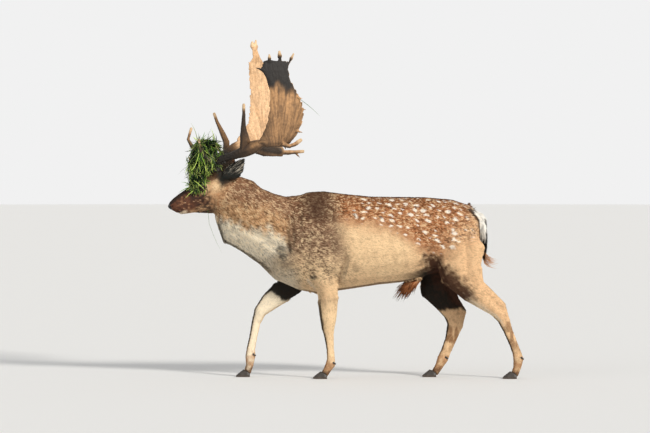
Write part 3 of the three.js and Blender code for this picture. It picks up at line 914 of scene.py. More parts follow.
        colour = layered(
            colour,
            (Hue.NAPE, 0.8 * ramp(0.66, 0.76, ahead) * ramp(0.66, 0.78, height)),
            (Hue.WITHERS, 0.9 * hump(0.79, 0.14, ahead) * ramp(0.7, 0.79, height)),
            (Hue.BREAST, 0.85 * breast),
            (Hue.THROAT, 0.5 * ramp(0.84, 0.92, ahead) * ramp(0.56, 0.47, height)),
            (Hue.THROAT, 0.85 * ramp(0.905, 0.955, ahead) * throat),
            # Painted shade in the hollows at the foot of the neck and behind the elbow.
            (Hue.ARMPIT, 0.75 * self.hollow(at)),
            (Hue.BELLY, 0.45 * ramp(0.012, 0.001, at.near(self.ARM_STREAK))),
            # Painted shade in the elbow crease, and a dot of painted shade on the belly below it.
            (Hue.SHADE, 0.45 * crease),
            (Hue.SHADE, 0.4 * ramp(0.03, 0.004, at.near(self.BELLY_SMUDGE) + 0.02 * (mottle - 0.5))),
            (Hue.SPOT, (0.95 - 0.45 * ramp(0.13, 0.05, ahead)) * self.speckle(at, down) * rows),
            (Hue.SPOT, 0.9 * self.edging(at, down)),
            (Hue.SPINE, self.spine(at)),
        )
        for line, reach, strength in self.STREAKS:
            far = at.near(line) + (noise(at.points, 0.009, 9) - 0.5) * 0.006
            colour = layered(colour, (Hue.SPINE, strength * ramp(2 * reach, reach, far)))
        # Painted shadow under the flank before the thigh, on skin that faces the middle between the thighs,
        # and on the far upper arm's inner side.
        under_flank_shadow = ramp(0.42, 0.27, ahead) * ramp(-0.5, -0.8, up) * ramp(0.56, 0.52, height)
        inside = ramp(-0.05, 0.25, at.inward) * ramp(0.36, 0.32, ahead) * ramp(0.56, 0.53, height)
        groin = at.near(self.TRUNK_GROIN) + 0.05 * (noise(at.points, 0.012, 15) - 0.5)
        colour = layered(
            colour,
            (Hue.INNER_DARK, 0.99 * np.maximum(under_flank_shadow, inside)),
            (Hue.INNER_DARK, 0.98 * self.inner_arm(at)),
            # Dark groin where the flank folds into the thigh: partly dark fur, partly painted shade.
            (Hue.GROIN, 0.97 * ramp(0.066, 0.012, groin)),
        )
        return self.rump(colour, at)

    def speckle(self, at: Patch, down: Array) -> Array:
        """1 on the white spots, with another scatter on each side."""
        ragged = (noise(at.points, 0.008, 16) - 0.5) * 0.011
        sides = [self.spots.mask(at.ahead + ragged, down - 0.7 * ragged, seed) for seed in (11, 23)]
        return np.where(at.side < 0, *sides)

    def edging(self, at: Patch, down: Array) -> Array:
        """1 on the row of white beads beside the spine."""
        beads = self.beads.mask(at.ahead, down, 31) * ramp(0.66, 0.58, at.ahead)
        return beads * ramp(0.03, 0.036, down) * ramp(0.062, 0.056, down)

    def spine(self, at: Patch) -> Array:
        """How dark the line of the back is."""
        wide = np.interp(at.ahead, *self.SPINE_WIDTH) + (noise(at.points, 0.014, 8) - 0.5) * 0.014
        line = ramp(0.005, -0.005, np.abs(at.side) - wide) * (0.92 - 0.3 * ramp(0.6, 0.85, at.ahead))
        return line * (at.height > 0.78)

    def inner_arm(self, at: Patch) -> Array:
        """1 where shadow is painted on the inner side of the far foreleg's upper arm."""
        rise = at.height - 0.375 - 0.353 * (at.ahead - 0.936)
        here = (at.side > 0) * ramp(0.82, 0.86, at.ahead) * ramp(0.56, 0.53, at.height)
        return here * ramp(-0.35, 0.05, -at.normals[:, 1]) * ramp(-0.01, 0.008, rise)

    def hollow(self, at: Patch) -> Array:
        """1 where shade is painted in the hollows at the foot of the neck and behind the elbow."""
        neck, elbow = at.near(self.NECK_HOLLOW), at.near(self.ELBOW_HOLLOW)
        return np.maximum(ramp(0.03, 0.008, neck), ramp(0.013, 0.003, elbow))

    def rump(self, colour: Array, at: Patch) -> Array:
        """Adds the white patch about the tail, with its black border.

        Args:
            colour: The colours below.
            at: The places.

        Returns:
            The colours.
        """
        levels, edges, widths = self.RUMP_PATCH
        ahead = at.ahead - np.interp(at.height, levels, edges)
        beyond = np.maximum(
            np.minimum(ahead, np.abs(at.side) - np.interp(at.height, levels, widths)),
            at.height - self.RUMP_TOP,
        )
        rear = ramp(0.6, 0.66, at.height) * (np.abs(at.side) < 0.09) * (at.ahead < 0.075)
        border = 0.95 * hump(0.0, 0.0115, beyond - 0.005) ** 0.5
        return layered(colour, (Hue.WHITE, ramp(0.002, -0.004, beyond) * rear), (Hue.BLACK, border * rear))

    def thigh(self, at: Patch) -> Array:
        """Upper legs: tan behind, pale before, with a browner front and top on the forelegs, painted shadow
        on the inner sides and painted shade on the front edge.
        """
        height, front = at.height, at.normals[:, 0]
        rear = at.ahead < 0.45
        mottle = ramp(0.4, 0.75, noise(at.points, (0.014, 0.02, 0.022), 7))
        colour = layered(
            np.where(rear[:, None], Hue.HAUNCH.linear, Hue.SHANK.linear),
            (Hue.SHANK, 0.6 * rear * ramp(-0.1, -0.7, front) * ramp(0.47, 0.4, height)),
            (Hue.SHOULDER, 0.8 * ~rear * ramp(0.3, 0.43, height) * (0.5 + 0.5 * mottle)),
            (Hue.INNER_LEG, 0.85 * ~rear * ramp(0.3, 0.8, at.inward)),
        )
        upper = ramp(0.46, 0.6, height) * np.where(rear, 1.0, 0.85)
        colour += (self.trunk(at) - colour) * upper[:, None]
        # Painted shadow on the thighs' inner side, deep on the far one and light on the near one.
        inside = np.where(at.side > 0, 0.99, 0.45) * rear * ramp(-0.35, 0.15, at.inward)
        gaskin = ramp(0.02, 0.3, -front) * ramp(0.44, 0.39, height) * ramp(0.6, 0.35, -front)
        groin = at.near(self.THIGH_GROIN) + 0.05 * (noise(at.points, 0.012, 13) - 0.5)
        colour = layered(
            colour,
            (Hue.INNER_DARK, 0.98 * self.inner_arm(at)),
            (Hue.INNER_DARK, inside * ramp(0.318, 0.335, height - 0.1 * (at.ahead - 0.2))),
            # Near-black front edge of the upper legs: partly dark hair, partly painted shade.
            (Hue.SHANK_FRONT, 0.92 * ramp(-0.5, -0.72, front) * ramp(0.56, 0.5, height)),
            (Hue.INNER_LEG, 0.55 * rear * gaskin * (at.side < 0)),
            # Dark groin on the thigh's front: partly dark fur, partly painted shade.
            (Hue.GROIN, 0.96 * rear * ramp(0.09, 0.014, groin)),
        )
        return self.rump(colour, at)

    def shank(self, at: Patch) -> Array:
        """Cannons: pale before, tan and mottled behind, with a dark front edge that is partly dark hair and
        partly painted shade.
        """
        height, front, rear = at.height, at.normals[:, 0], at.ahead < 0.45
        mottle = ramp(0.4, 0.6, noise(at.points, (0.015, 0.018, 0.026), 7))
        inner = ramp(0.3, 0.8, at.inward)
        return layered(
            at.flat(Hue.SHANK),
            (Hue.HAUNCH, 0.85 * rear * (0.6 + 0.4 * ramp(0.12, 0.3, height))),
            (Hue.SHANK_DARK, 0.85 * rear * (mottle + 0.15 * inner) * ramp(0.08, 0.18, height)),
            (Hue.RUFOUS, 0.45 * rear * ramp(0.25, 0.36, height)),
            (Hue.GROIN, 0.85 * (at.side < 0) * ramp(0.007, 0.002, at.near(self.HOCK_DOT))),
            (Hue.INNER_LEG, 0.75 * ~rear * inner),
            # A browner band and a near-black edge down the front: partly dark hair, partly painted shade.
            (Hue.SHANK_DARK, 0.6 * ramp(-0.3, -0.65, front)),
            (Hue.SHANK_FRONT, 0.95 * ramp(-0.5, -0.72, front) * ramp(0.09, 0.15, height)),
        )

    def foot(self, at: Patch) -> Array:
        """Pasterns: tan, with a dark ring above the claws."""
        patchy = ramp(0.25, 0.6, noise(at.points, 0.016, 19))
        return layered(
            self.shank(at),
            (Hue.RUFOUS, 0.6 * ramp(0.17, 0.1, at.height) * patchy),
            (Hue.SHANK_DARK, 0.45 * ramp(0.12, 0.05, at.height)),
            (Hue.CORONET, 0.85 * ramp(0.052, 0.036, at.height)),
        )

    def neck(self, at: Patch) -> Array:
        """Neck: brown-grey above, whitish below, with mottled sides, and painted shade under it and in the
        hollow at its foot.
        """
        edge = np.interp(at.ahead, *self.THROAT_EDGE)
        above = at.height - edge - 0.05 * (noise(at.points, (0.011, 0.02, 0.016), 17) - 0.5)
        line = ramp(0.035, 0.012, np.abs(at.side)) * ramp(0.3, 0.8, at.normals[:, 2])
        # Painted shade on the underside of the neck, which faces down and ahead.
        under = ramp(0.7, 0.84, at.normals @ self.UNDER_NECK) * ramp(0.76, 0.73, at.height)
        colour = layered(at.flat(Hue.NECK), (Hue.NAPE, ramp(0.05, 0.16, above)), (Hue.SPINE, 0.6 * line))
        colour = colour * (0.8 + 0.4 * noise(at.points, (0.014, 0.02, 0.016), 6))[:, None]
        return layered(
            colour,
            (Hue.THROAT, ramp(0.03, -0.015, above) * (0.62 + 0.38 * ramp(0.86, 0.95, at.ahead))),
            (Hue.ARMPIT, 0.88 * under),
            (Hue.ARMPIT, 0.8 * self.hollow(at)),
            (Hue.BREAST, 0.25 * ramp(0.6, 0.56, at.height)),
        )

    def head(self, at: Patch) -> Array:
        """Face: dark bridge and brow, brown muzzle, tan cheeks, pale jaw and chin, black nose, and painted
        shadow of the antlers before the ears.
        """
        f, s, u = self.body.head.local(at.points).T
        face = np.stack([f, np.abs(s), u], axis=1)
        patch = noise(at.points, (0.016, 0.016, 0.012), 10)
        coarse = noise(at.points, (0.011, 0.02, 0.007), 14)
        dark_face = ramp(0.085, 0.115, f) * ramp(0.2, 0.17, f)
        soot = 0.45 * dark_face + 0.45 * ramp(0.5, 0.72, coarse)
        top = ramp(0.3, 0.75, self.body.head.turned(at.normals)[:, 2])
        # Painted shadow cast by the antlers on the head before the ears.
        antler_shadow = ramp(0.055, 0.025, f) * ramp(-0.01, 0.02, u) * ramp(-0.04, -0.01, f)
        eye = norms(face - HeadFrame.EYE)
        return layered(
            at.flat(Hue.CHEEK),
            (Hue.MUZZLE, ramp(0.1, 0.15, f + (patch - 0.5) * 0.06) * ramp(-0.065, -0.04, u)),
            (Hue.BRIDGE, soot * ramp(0.285, 0.25, f) * ramp(0.06, 0.11, f)),
            (Hue.CHEEK, 0.4 * ramp(0.4, 0.2, coarse) * ramp(0.28, 0.24, f)),
            (Hue.BRIDGE, 0.6 * ramp(-0.066, -0.082, u) * ramp(0.05, 0.09, f) * ramp(0.23, 0.2, f)),
            (Hue.RUFOUS, 0.5 * ramp(0.55, 0.75, patch) * ramp(0.12, 0.06, f)),
            (Hue.TUFT_PALE, 0.55 * hump(0.06, 0.05, f) * hump(0.02, 0.05, u)),
            (Hue.BRIDGE, 0.92 * top * ramp(0.1, 0.16, f)),
            (Hue.FOREHEAD, 0.92 * ramp(0.15, 0.08, f) * ramp(0.034, 0.058, u)),
            (Hue.EAR_HOLLOW, 0.92 * antler_shadow),
            (Hue.CHIN, ramp(-0.036, -0.048, u) * ramp(0.215, 0.235, f)),
            (Hue.THROAT, 0.45 * ramp(-0.075, -0.095, u) * ramp(0.1, 0.04, f)),
            (Hue.EYE_RING, 0.7 * hump(0.026, 0.008, eye)),
            (Hue.LIP, ramp(0.02, 0.0165, eye)),
            (Hue.LIP, 0.9 * ramp(0.005, 0.002, far_from(face, *self.MOUTH))),
            (Hue.NOSE, self.nose(at.points)),
        )

    def nose(self, points: Array) -> Array:
        """1 on the bare nose pad."""
        f, _, u = self.body.head.local(points).T
        edge = 0.286 + 0.16 * np.maximum(u + 0.004, 0) + 0.25 * np.maximum(-0.02 - u, 0)
        return ramp(edge - 0.002, edge + 0.003, f) * ramp(-0.034, -0.029, u)

    def ear(self, at: Patch) -> Array:
        """Ears: brown back with a reddish tip that is partly painted light, a dark hollow with pale hair, a
        cream rim at the tip that is a painted highlight, and painted shadow at the base of the right one.
        """
        top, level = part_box("ear_left")[1].z, at.points[:, 2]
        # 1 on the ear's inner side, which faces outwards.
        inner = ramp(-0.45, 0.05, -0.95 * at.inward - 0.3 * at.normals[:, 0])
        streak = ramp(0.5, 0.78, noise(at.points @ self.EAR_AXES, (0.03, 0.0026, 0.004), 12))
        return layered(
            at.flat(Hue.EAR_BACK),
            # The reddish tip: partly the ear's own colour, partly painted light.
            (Hue.EAR_TIP, 0.8 * ramp(top - 0.06, top - 0.01, level)),
            # Painted shadow of the antler on the base of the right ear.
            (Hue.INNER_DARK, 0.85 * ramp(-0.532, -0.556, at.points[:, 0]) * (at.side > 0)),
            (Hue.EAR_HOLLOW, ramp(0.3, 0.6, inner)),
            (Hue.EAR_HAIR, 0.6 * streak * ramp(top - 0.095, top - 0.045, level) * inner),
            # Painted highlight: a cream rim along the tip's edge.
            (Hue.EAR_HAIR, hump(0.25, 0.3, inner) * ramp(top - 0.055, top - 0.03, level)),
        )

    def tail(self, at: Patch) -> Array:
        """Tail: white at the sides above, black along the top and at the end."""
        root = ramp(0.786, 0.8, at.height) * ramp(0.006, 0.014, np.abs(at.side))
        return layered(
            at.flat(Hue.BLACK),
            (Hue.WHITE, ramp(0.86, 0.7, at.normals[:, 0]) * ramp(0.655, 0.675, at.height)),
            (Hue.SADDLE, 0.85 * root),
        )

    def sheath(self, at: Patch) -> Array:
        """Sheath: tan where it leaves the belly, painted shadow behind, and a reddish brown brush."""
        return layered(
            at.flat(Hue.HAUNCH),
            (Hue.BRUSH, ramp(0.49, 0.45, at.height)),
            # Painted shadow on the rear of the sheath, beside the far thigh.
            (Hue.INNER_DARK, 0.95 * ramp(0.322, 0.3, at.ahead)),
        )


# ---- the skin ----


def zone_of(node: str) -> Zone | None:
    """The zone that a node's flesh belongs to, or None for horn, eyes and grass."""
    for zone, pelt in PELTS.items():
        if node.endswith(pelt.endings):
            return zone
    return None


class Flesh:
    """The flesh solids, and which of them is nearest to a point."""

    def __init__(self, body: Body) -> None:
        """Gathers the solids that the skin covers."""
        self.nodes = [node for node in sorted(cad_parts) if zone_of(node) is not None]
        points, faces, owners = [], [], []
        for index, node in enumerate(self.nodes):
            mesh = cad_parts[node].data
            mesh.calc_loop_triangles()
            faces.append(read(mesh, "loop_triangles", "vertices", 3) + sum(len(p) for p in points))
            points.append(read(mesh))
            owners.append(np.full(len(faces[-1]), index))
        self.owners = np.concatenate(owners)
        corners, sides = np.concatenate(points), np.concatenate(faces)
        self.tree = BVHTree.FromPolygons(corners.tolist(), sides.tolist())
        self.lies = np.array([self.lie(node, mesh, body) for node, mesh in zip(self.nodes, points)])
        self.zones = np.array([zone_of(node) for node in self.nodes])

    def lie(self, node: str, points: Array, body: Body) -> Array:
        """The way the hair of one node points."""
        zone = zone_of(node)
        if zone is Zone.HEAD:
            return -body.head.axes[0]
        axis = np.linalg.svd(points - points.mean(axis=0), full_matrices=False)[2][0]
        if zone is Zone.EAR:
            return axis * np.sign(axis[2])
        if PELTS[zone].lie:
            return unit(PELTS[zone].lie)
        down = -axis * np.sign(axis[2])
        return unit(down + np.array([0.25, 0, 0])) if node.endswith("thigh") else down

    def nearest(self, points: Array) -> Array:
        """The number of the node nearest to each point."""
        find = self.tree.find_nearest
        return self.owners[[find(point)[2] for point in points.tolist()]]


@dataclass
class Skin:
    """One skin over all the flesh, smoothed, sculpted and marked.

    Its coat depths are taken off, so that the hair ends where the solids do.
    """

    body: Body
    flesh: Flesh
    markings: Markings
    voxel: float = 0.0032
    relax_rounds: int = 170
    budget: int = 120_000
    undulation: float = 0.0022
    eye_socket: float = 0.0136
    eye_half: float = 0.0142
    lid_reach: float = 0.0245
    lid_height: float = 0.0168
    lip_retreat: tuple[float, float, float] = (0.016, 0.0, -0.006)
    snout_taper: float = 0.12
    ear_widening: float = 0.45
    ear_shortening: float = 0.1
    ear_depth: float = 0.008
    sheath_tuck: tuple[float, float] = (0.03, 0.036)
    tail_slimming: float = 0.62
    tail_levels: tuple[float, ...] = (0.59, 0.66, 0.72, 0.76, 0.83)
    tail_line: tuple[float, ...] = (0.632, 0.634, 0.628, 0.61, 0.58)
    tail_swing: tuple[float, ...] = (0.011, 0.009, 0.004, 0.004, 0.0)
    tail_root_drop: float = 0.02

    def build(self) -> Object:
        """Makes the skin."""
        obj = remade("skin", copies([*self.flesh.nodes, "eye_left", "eye_right"]), self.voxel)
        mesh = obj.data
        share, _ = self.zones_of(mesh, 10)
        move(mesh, relaxed(obj, self.relax_rounds, share @ of_zones("relax")))
        self.press_body(mesh)
        self.cup_ears(mesh, share[:, Zone.EAR])
        self.tuck_sheath(mesh, share[:, Zone.SHEATH])
        self.slim_tail(mesh, share[:, Zone.TAIL])
        move(mesh, read(mesh) - normals_of(mesh) * (share @ of_zones("depth"))[:, None])
        self.thin_out(obj, share)
        self.refine_face(obj.data)
        self.press_face(obj.data)
        shade_smooth(obj.data)
        unwrap(obj)
        self.mark(obj.data)
        return obj

    def zones_of(self, mesh: Mesh, rounds: int) -> tuple[Array, Array]:
        """The share of each zone at every vertex, and the way the hair points there."""
        owner = self.flesh.nearest(read(mesh))
        rows = np.concatenate([np.eye(len(Zone))[self.flesh.zones[owner]], self.flesh.lies[owner]], axis=1)
        rows = diffuse(rows, read(mesh, "edges", "vertices", 2), rounds)
        return rows[:, : len(Zone)], unit(rows[:, len(Zone) :])

    def press_body(self, mesh: Mesh) -> None:
        """Presses the muscles, folds and ribs of the body and legs into the skin."""
        points, normals = read(mesh), normals_of(mesh)
        seen = self.body.seen(points)
        ribs = {
            f"rib_{i}": Fold((0.4 + 0.046 * i, 0.7), (0.365 + 0.046 * i, 0.55), 0.013, 0.0016)
            for i in range(RIBS)
        }
        height = (noise(points, 0.075, 31) - 0.5) * self.undulation * ramp(0.35, 0.5, points[:, 2])
        for fold in {**BODY_FOLDS, **ribs}.values():
            far = far_from(seen[:, [0, 2]], fold.start, fold.end)
            on_side = np.ones(len(points)) if fold.all_round else ramp(0.1, 0.45, np.abs(normals[:, 1]))
            if fold.side:
                on_side *= seen[:, 1] * fold.side > 0
            height += np.exp(-((far / fold.reach) ** 2)) * fold.height * on_side
        move(mesh, points + normals * height[:, None])

    def cup_ears(self, mesh: Mesh, share: Array) -> None:
        """Widens the ears, shortens their tips and hollows the side that faces outwards.

        Args:
            mesh: The skin.
            share: How far each vertex belongs to the ears.
        """
        points = read(mesh)
        for side, sign in SIDES.items():
            solid = solid_of(f"ear_{side}")
            along = self.flesh.lies[self.flesh.nodes.index(f"ear_{side}")]
            reach = solid @ along
            low, high = reach.min(), reach.max()
            base = solid[reach < low + 0.2 * (high - low)].mean(axis=0)
            out = np.array([-0.25, sign * 1.0, 0.0])
            out = unit(out - (out @ along) * along)
            wide = np.cross(along, out)
            way = points - base
            step, across = (points @ along - low) / (high - low), way @ wide
            mine = (points[:, 1] - self.body.middle) * sign > 0
            mine = ramp(0.1, 0.5, share) * ramp(0.16, 0.34, step) * mine
            swell = np.sin(np.clip(step, 0, 1) * math.pi) ** 0.8
            edge = np.abs(across) / (0.016 + 0.012 * swell)
            cup = np.clip(1 - edge**2, 0, 1) * swell
            shift = wide * (across * self.ear_widening * swell)[:, None]
            shift -= along * ((step - 0.2) * (high - low) * self.ear_shortening)[:, None]
            shift -= out * (cup * self.ear_depth)[:, None]
            points = points + shift * mine[:, None]
        move(mesh, points)

    def tuck_sheath(self, mesh: Mesh, share: Array) -> None:
        """Makes the sheath's flesh short and level, so that its brush hangs free."""
        points = read(mesh)
        low, high = box_of("sheath")
        along = np.clip((high[0] - points[:, 0]) / (high[0] - low[0]), 0, 1)
        mine = ramp(0.3, 0.8, share)
        points[:, 0] += along * self.sheath_tuck[0] * mine
        points[:, 2] += along**1.2 * self.sheath_tuck[1] * mine
        move(mesh, points)

    def slim_tail(self, mesh: Mesh, share: Array) -> None:
        """Makes the tail thin and flat against the rump, most of all below."""
        points = read(mesh)
        low, high = box_of("tail")
        drop = np.clip((high[2] - points[:, 2]) / (high[2] - low[2]), 0, 1)
        rows = self.tail_line, self.tail_swing
        middle, swing = (np.interp(points[:, 2], self.tail_levels, row) for row in rows)
        slim = self.tail_slimming * drop**1.2
        mine = ramp(0.2, 0.7, share)
        points[:, 0] += (swing - (points[:, 0] - middle) * slim) * mine
        points[:, 2] -= self.tail_root_drop * ramp(0.755, 0.835, points[:, 2]) * mine
        move(mesh, points)

    def thin_out(self, obj: Object, share: Array) -> None:
        """Takes faces away, most where the hair is long, and leaves the face, ears and feet fine."""
        fine = share[:, [Zone.HEAD, Zone.EAR, Zone.FOOT]].sum(axis=1)
        group = obj.vertex_groups.new(name="coarse")
        group.add(np.flatnonzero(fine < 0.3).tolist(), 1.0, "REPLACE")
        thinner = obj.modifiers.new("thin out", "DECIMATE")
        thinner.ratio = self.budget / (2 * len(obj.data.polygons))
        thinner.vertex_group = "coarse"
        finished(obj)
        obj.vertex_groups.clear()
        with reshaped(obj.data) as bm:
            bmesh.ops.triangulate(bm, faces=bm.faces)

    def refine_face(self, mesh: Mesh) -> None:
        """Splits the faces round the eyes, nose and mouth, so that fine folds fit there."""
        for eye_reach, nose_from, mouth_reach in ((0.032, 0.235, 0.02), (0.026, 0.274, 0.009)):
            points = self.body.head.folded(read(mesh))
            near = norms(points - HeadFrame.EYE) < eye_reach
            near |= points[:, 0] > nose_from
            near |= far_from(points, *FACE_FOLDS["mouth"][:2]) < mouth_reach
            with reshaped(mesh) as bm:
                edges = [edge for edge in bm.edges if near[edge.verts[0].index] and near[edge.verts[1].index]]
                bmesh.ops.subdivide_edges(bm, edges=edges, cuts=1, smooth=0.6)
                bmesh.ops.triangulate(bm, faces=[face for face in bm.faces if len(face.verts) > 3])

    def press_face(self, mesh: Mesh) -> None:
        """Presses the lids, tear pits, nostrils, mouth and bones of the face into the skin."""
        head = self.body.head
        points, normals = head.local(read(mesh)), head.turned(normals_of(mesh))
        folded = points * [1, 0, 1] + np.abs(points) * [0, 1, 0]
        height = np.zeros(len(points))
        for start, end, reach, rise in FACE_FOLDS.values():
            height += np.exp(-((far_from(folded, start, end) / reach) ** 2)) * rise
        face = points[:, 0] > -0.02
        back = ramp(0.004, -0.036, points[:, 2]) * ramp(0.225, 0.295, points[:, 0])
        points = points - back[:, None] * np.array(self.lip_retreat)
        snout = ramp(0.25, 0.3, points[:, 0])[:, None]
        points = points * (1 - snout * [0, self.snout_taper, 0])
        points = np.where(face[:, None], points + normals * height[:, None], points)
        for sign in SIDES.values():
            points = self.open_eye(points, sign)
        move(mesh, head.world(points))

    def open_eye(self, points: Array, side: int) -> Array:
        """Opens an almond between the lids, with a raised rim, round one eyeball.

        Args:
            points: The skin in the head's frame.
            side: The eye's sign of Y.

        Returns:
            The skin with the opening.
        """
        centre = HeadFrame.EYE * [1, side, 1]
        out = unit([0.3, side * 0.95, 0.1])
        along = unit(np.cross(np.array([0, 0, 1.0]), out)) * side
        along = unit(along - 0.22 * np.array([0, 0, 1.0]))
        across = np.cross(along, out) * -side
        way = points - centre
        far = norms(way)
        a, b, c = way @ along, way @ across, way @ out
        half = np.where(b > 0, 0.007, 0.0052) * (1 - 0.95 * np.clip(np.abs(a) / self.eye_half, 0, 1) ** 1.8)
        gap = np.maximum(np.abs(b) - half, np.abs(a) - self.eye_half)
        near = (far < self.lid_reach) & (c > 0)
        rim = self.lid_height + 0.0016 * np.exp(-(((gap - 0.0015) / 0.0017) ** 2))
        crease = -0.0012 * np.exp(-(((gap - 0.0052) / 0.0014) ** 2)) * (b > 0)
        lid = np.maximum(far + crease, rim)
        radius = self.eye_socket + (lid - self.eye_socket) * ramp(0, 0.0012, gap)
        mix = np.where(near, 1 - ramp(0.0205, self.lid_reach, far) * (gap > 0), 0)
        radius = far + (radius - far) * mix
        return centre + way * (radius / np.maximum(far, 1e-9))[:, None]

    def mark(self, mesh: Mesh) -> None:
        """Keeps the markings, the bare places and the lie of the hair on the skin."""
        share, lie = self.zones_of(mesh, 6)
        points, normals = read(mesh), normals_of(mesh)
        store(mesh, HUE, self.markings.colours(points, normals, share))
        store(mesh, BARE, self.bare(points))
        store(mesh, UPRIGHT, ramp(0.5, 0.8, np.abs(lie[:, 2])))

    def bare(self, points: Array) -> Array:
        """1 on the nose, the lips and the rims of the lids."""
        local = self.body.head.folded(points)
        lips = far_from(local, *FACE_FOLDS["mouth"][:2])
        eyes = norms(local - HeadFrame.EYE)
        pits = far_from(local, *FACE_FOLDS["tear_pit"][:2])
        creases = np.maximum(1 - ramp(0.002, 0.004, lips), 0.7 * (1 - ramp(0.002, 0.004, pits)))
        return np.maximum.reduce([self.markings.nose(points), creases, 1 - ramp(0.0205, 0.022, eyes)])


def unwrap(obj: Object) -> None:
    """Lays the skin out flat on its UV map, BAKE_MAP."""
    if not obj.data.uv_layers:
        obj.data.uv_layers.new(name=BAKE_MAP)
    bpy.context.view_layer.objects.active = obj
    obj.select_set(True)
    bpy.ops.object.mode_set(mode="EDIT")
    bpy.ops.mesh.select_all(action="SELECT")
    bpy.ops.uv.smart_project(angle_limit=1.15, island_margin=0.002)
    bpy.ops.object.mode_set(mode="OBJECT")
    obj.select_set(False)


# ---- the coat ----


@dataclass
class Roots(Rows):
    """Places on the skin where hair grows, one row to a root."""

    points: Array
    normals: Array
    lie: Array
    flat: Array
    share: Array

    def __len__(self) -> int:
        """How many roots there are."""
        return len(self.points)


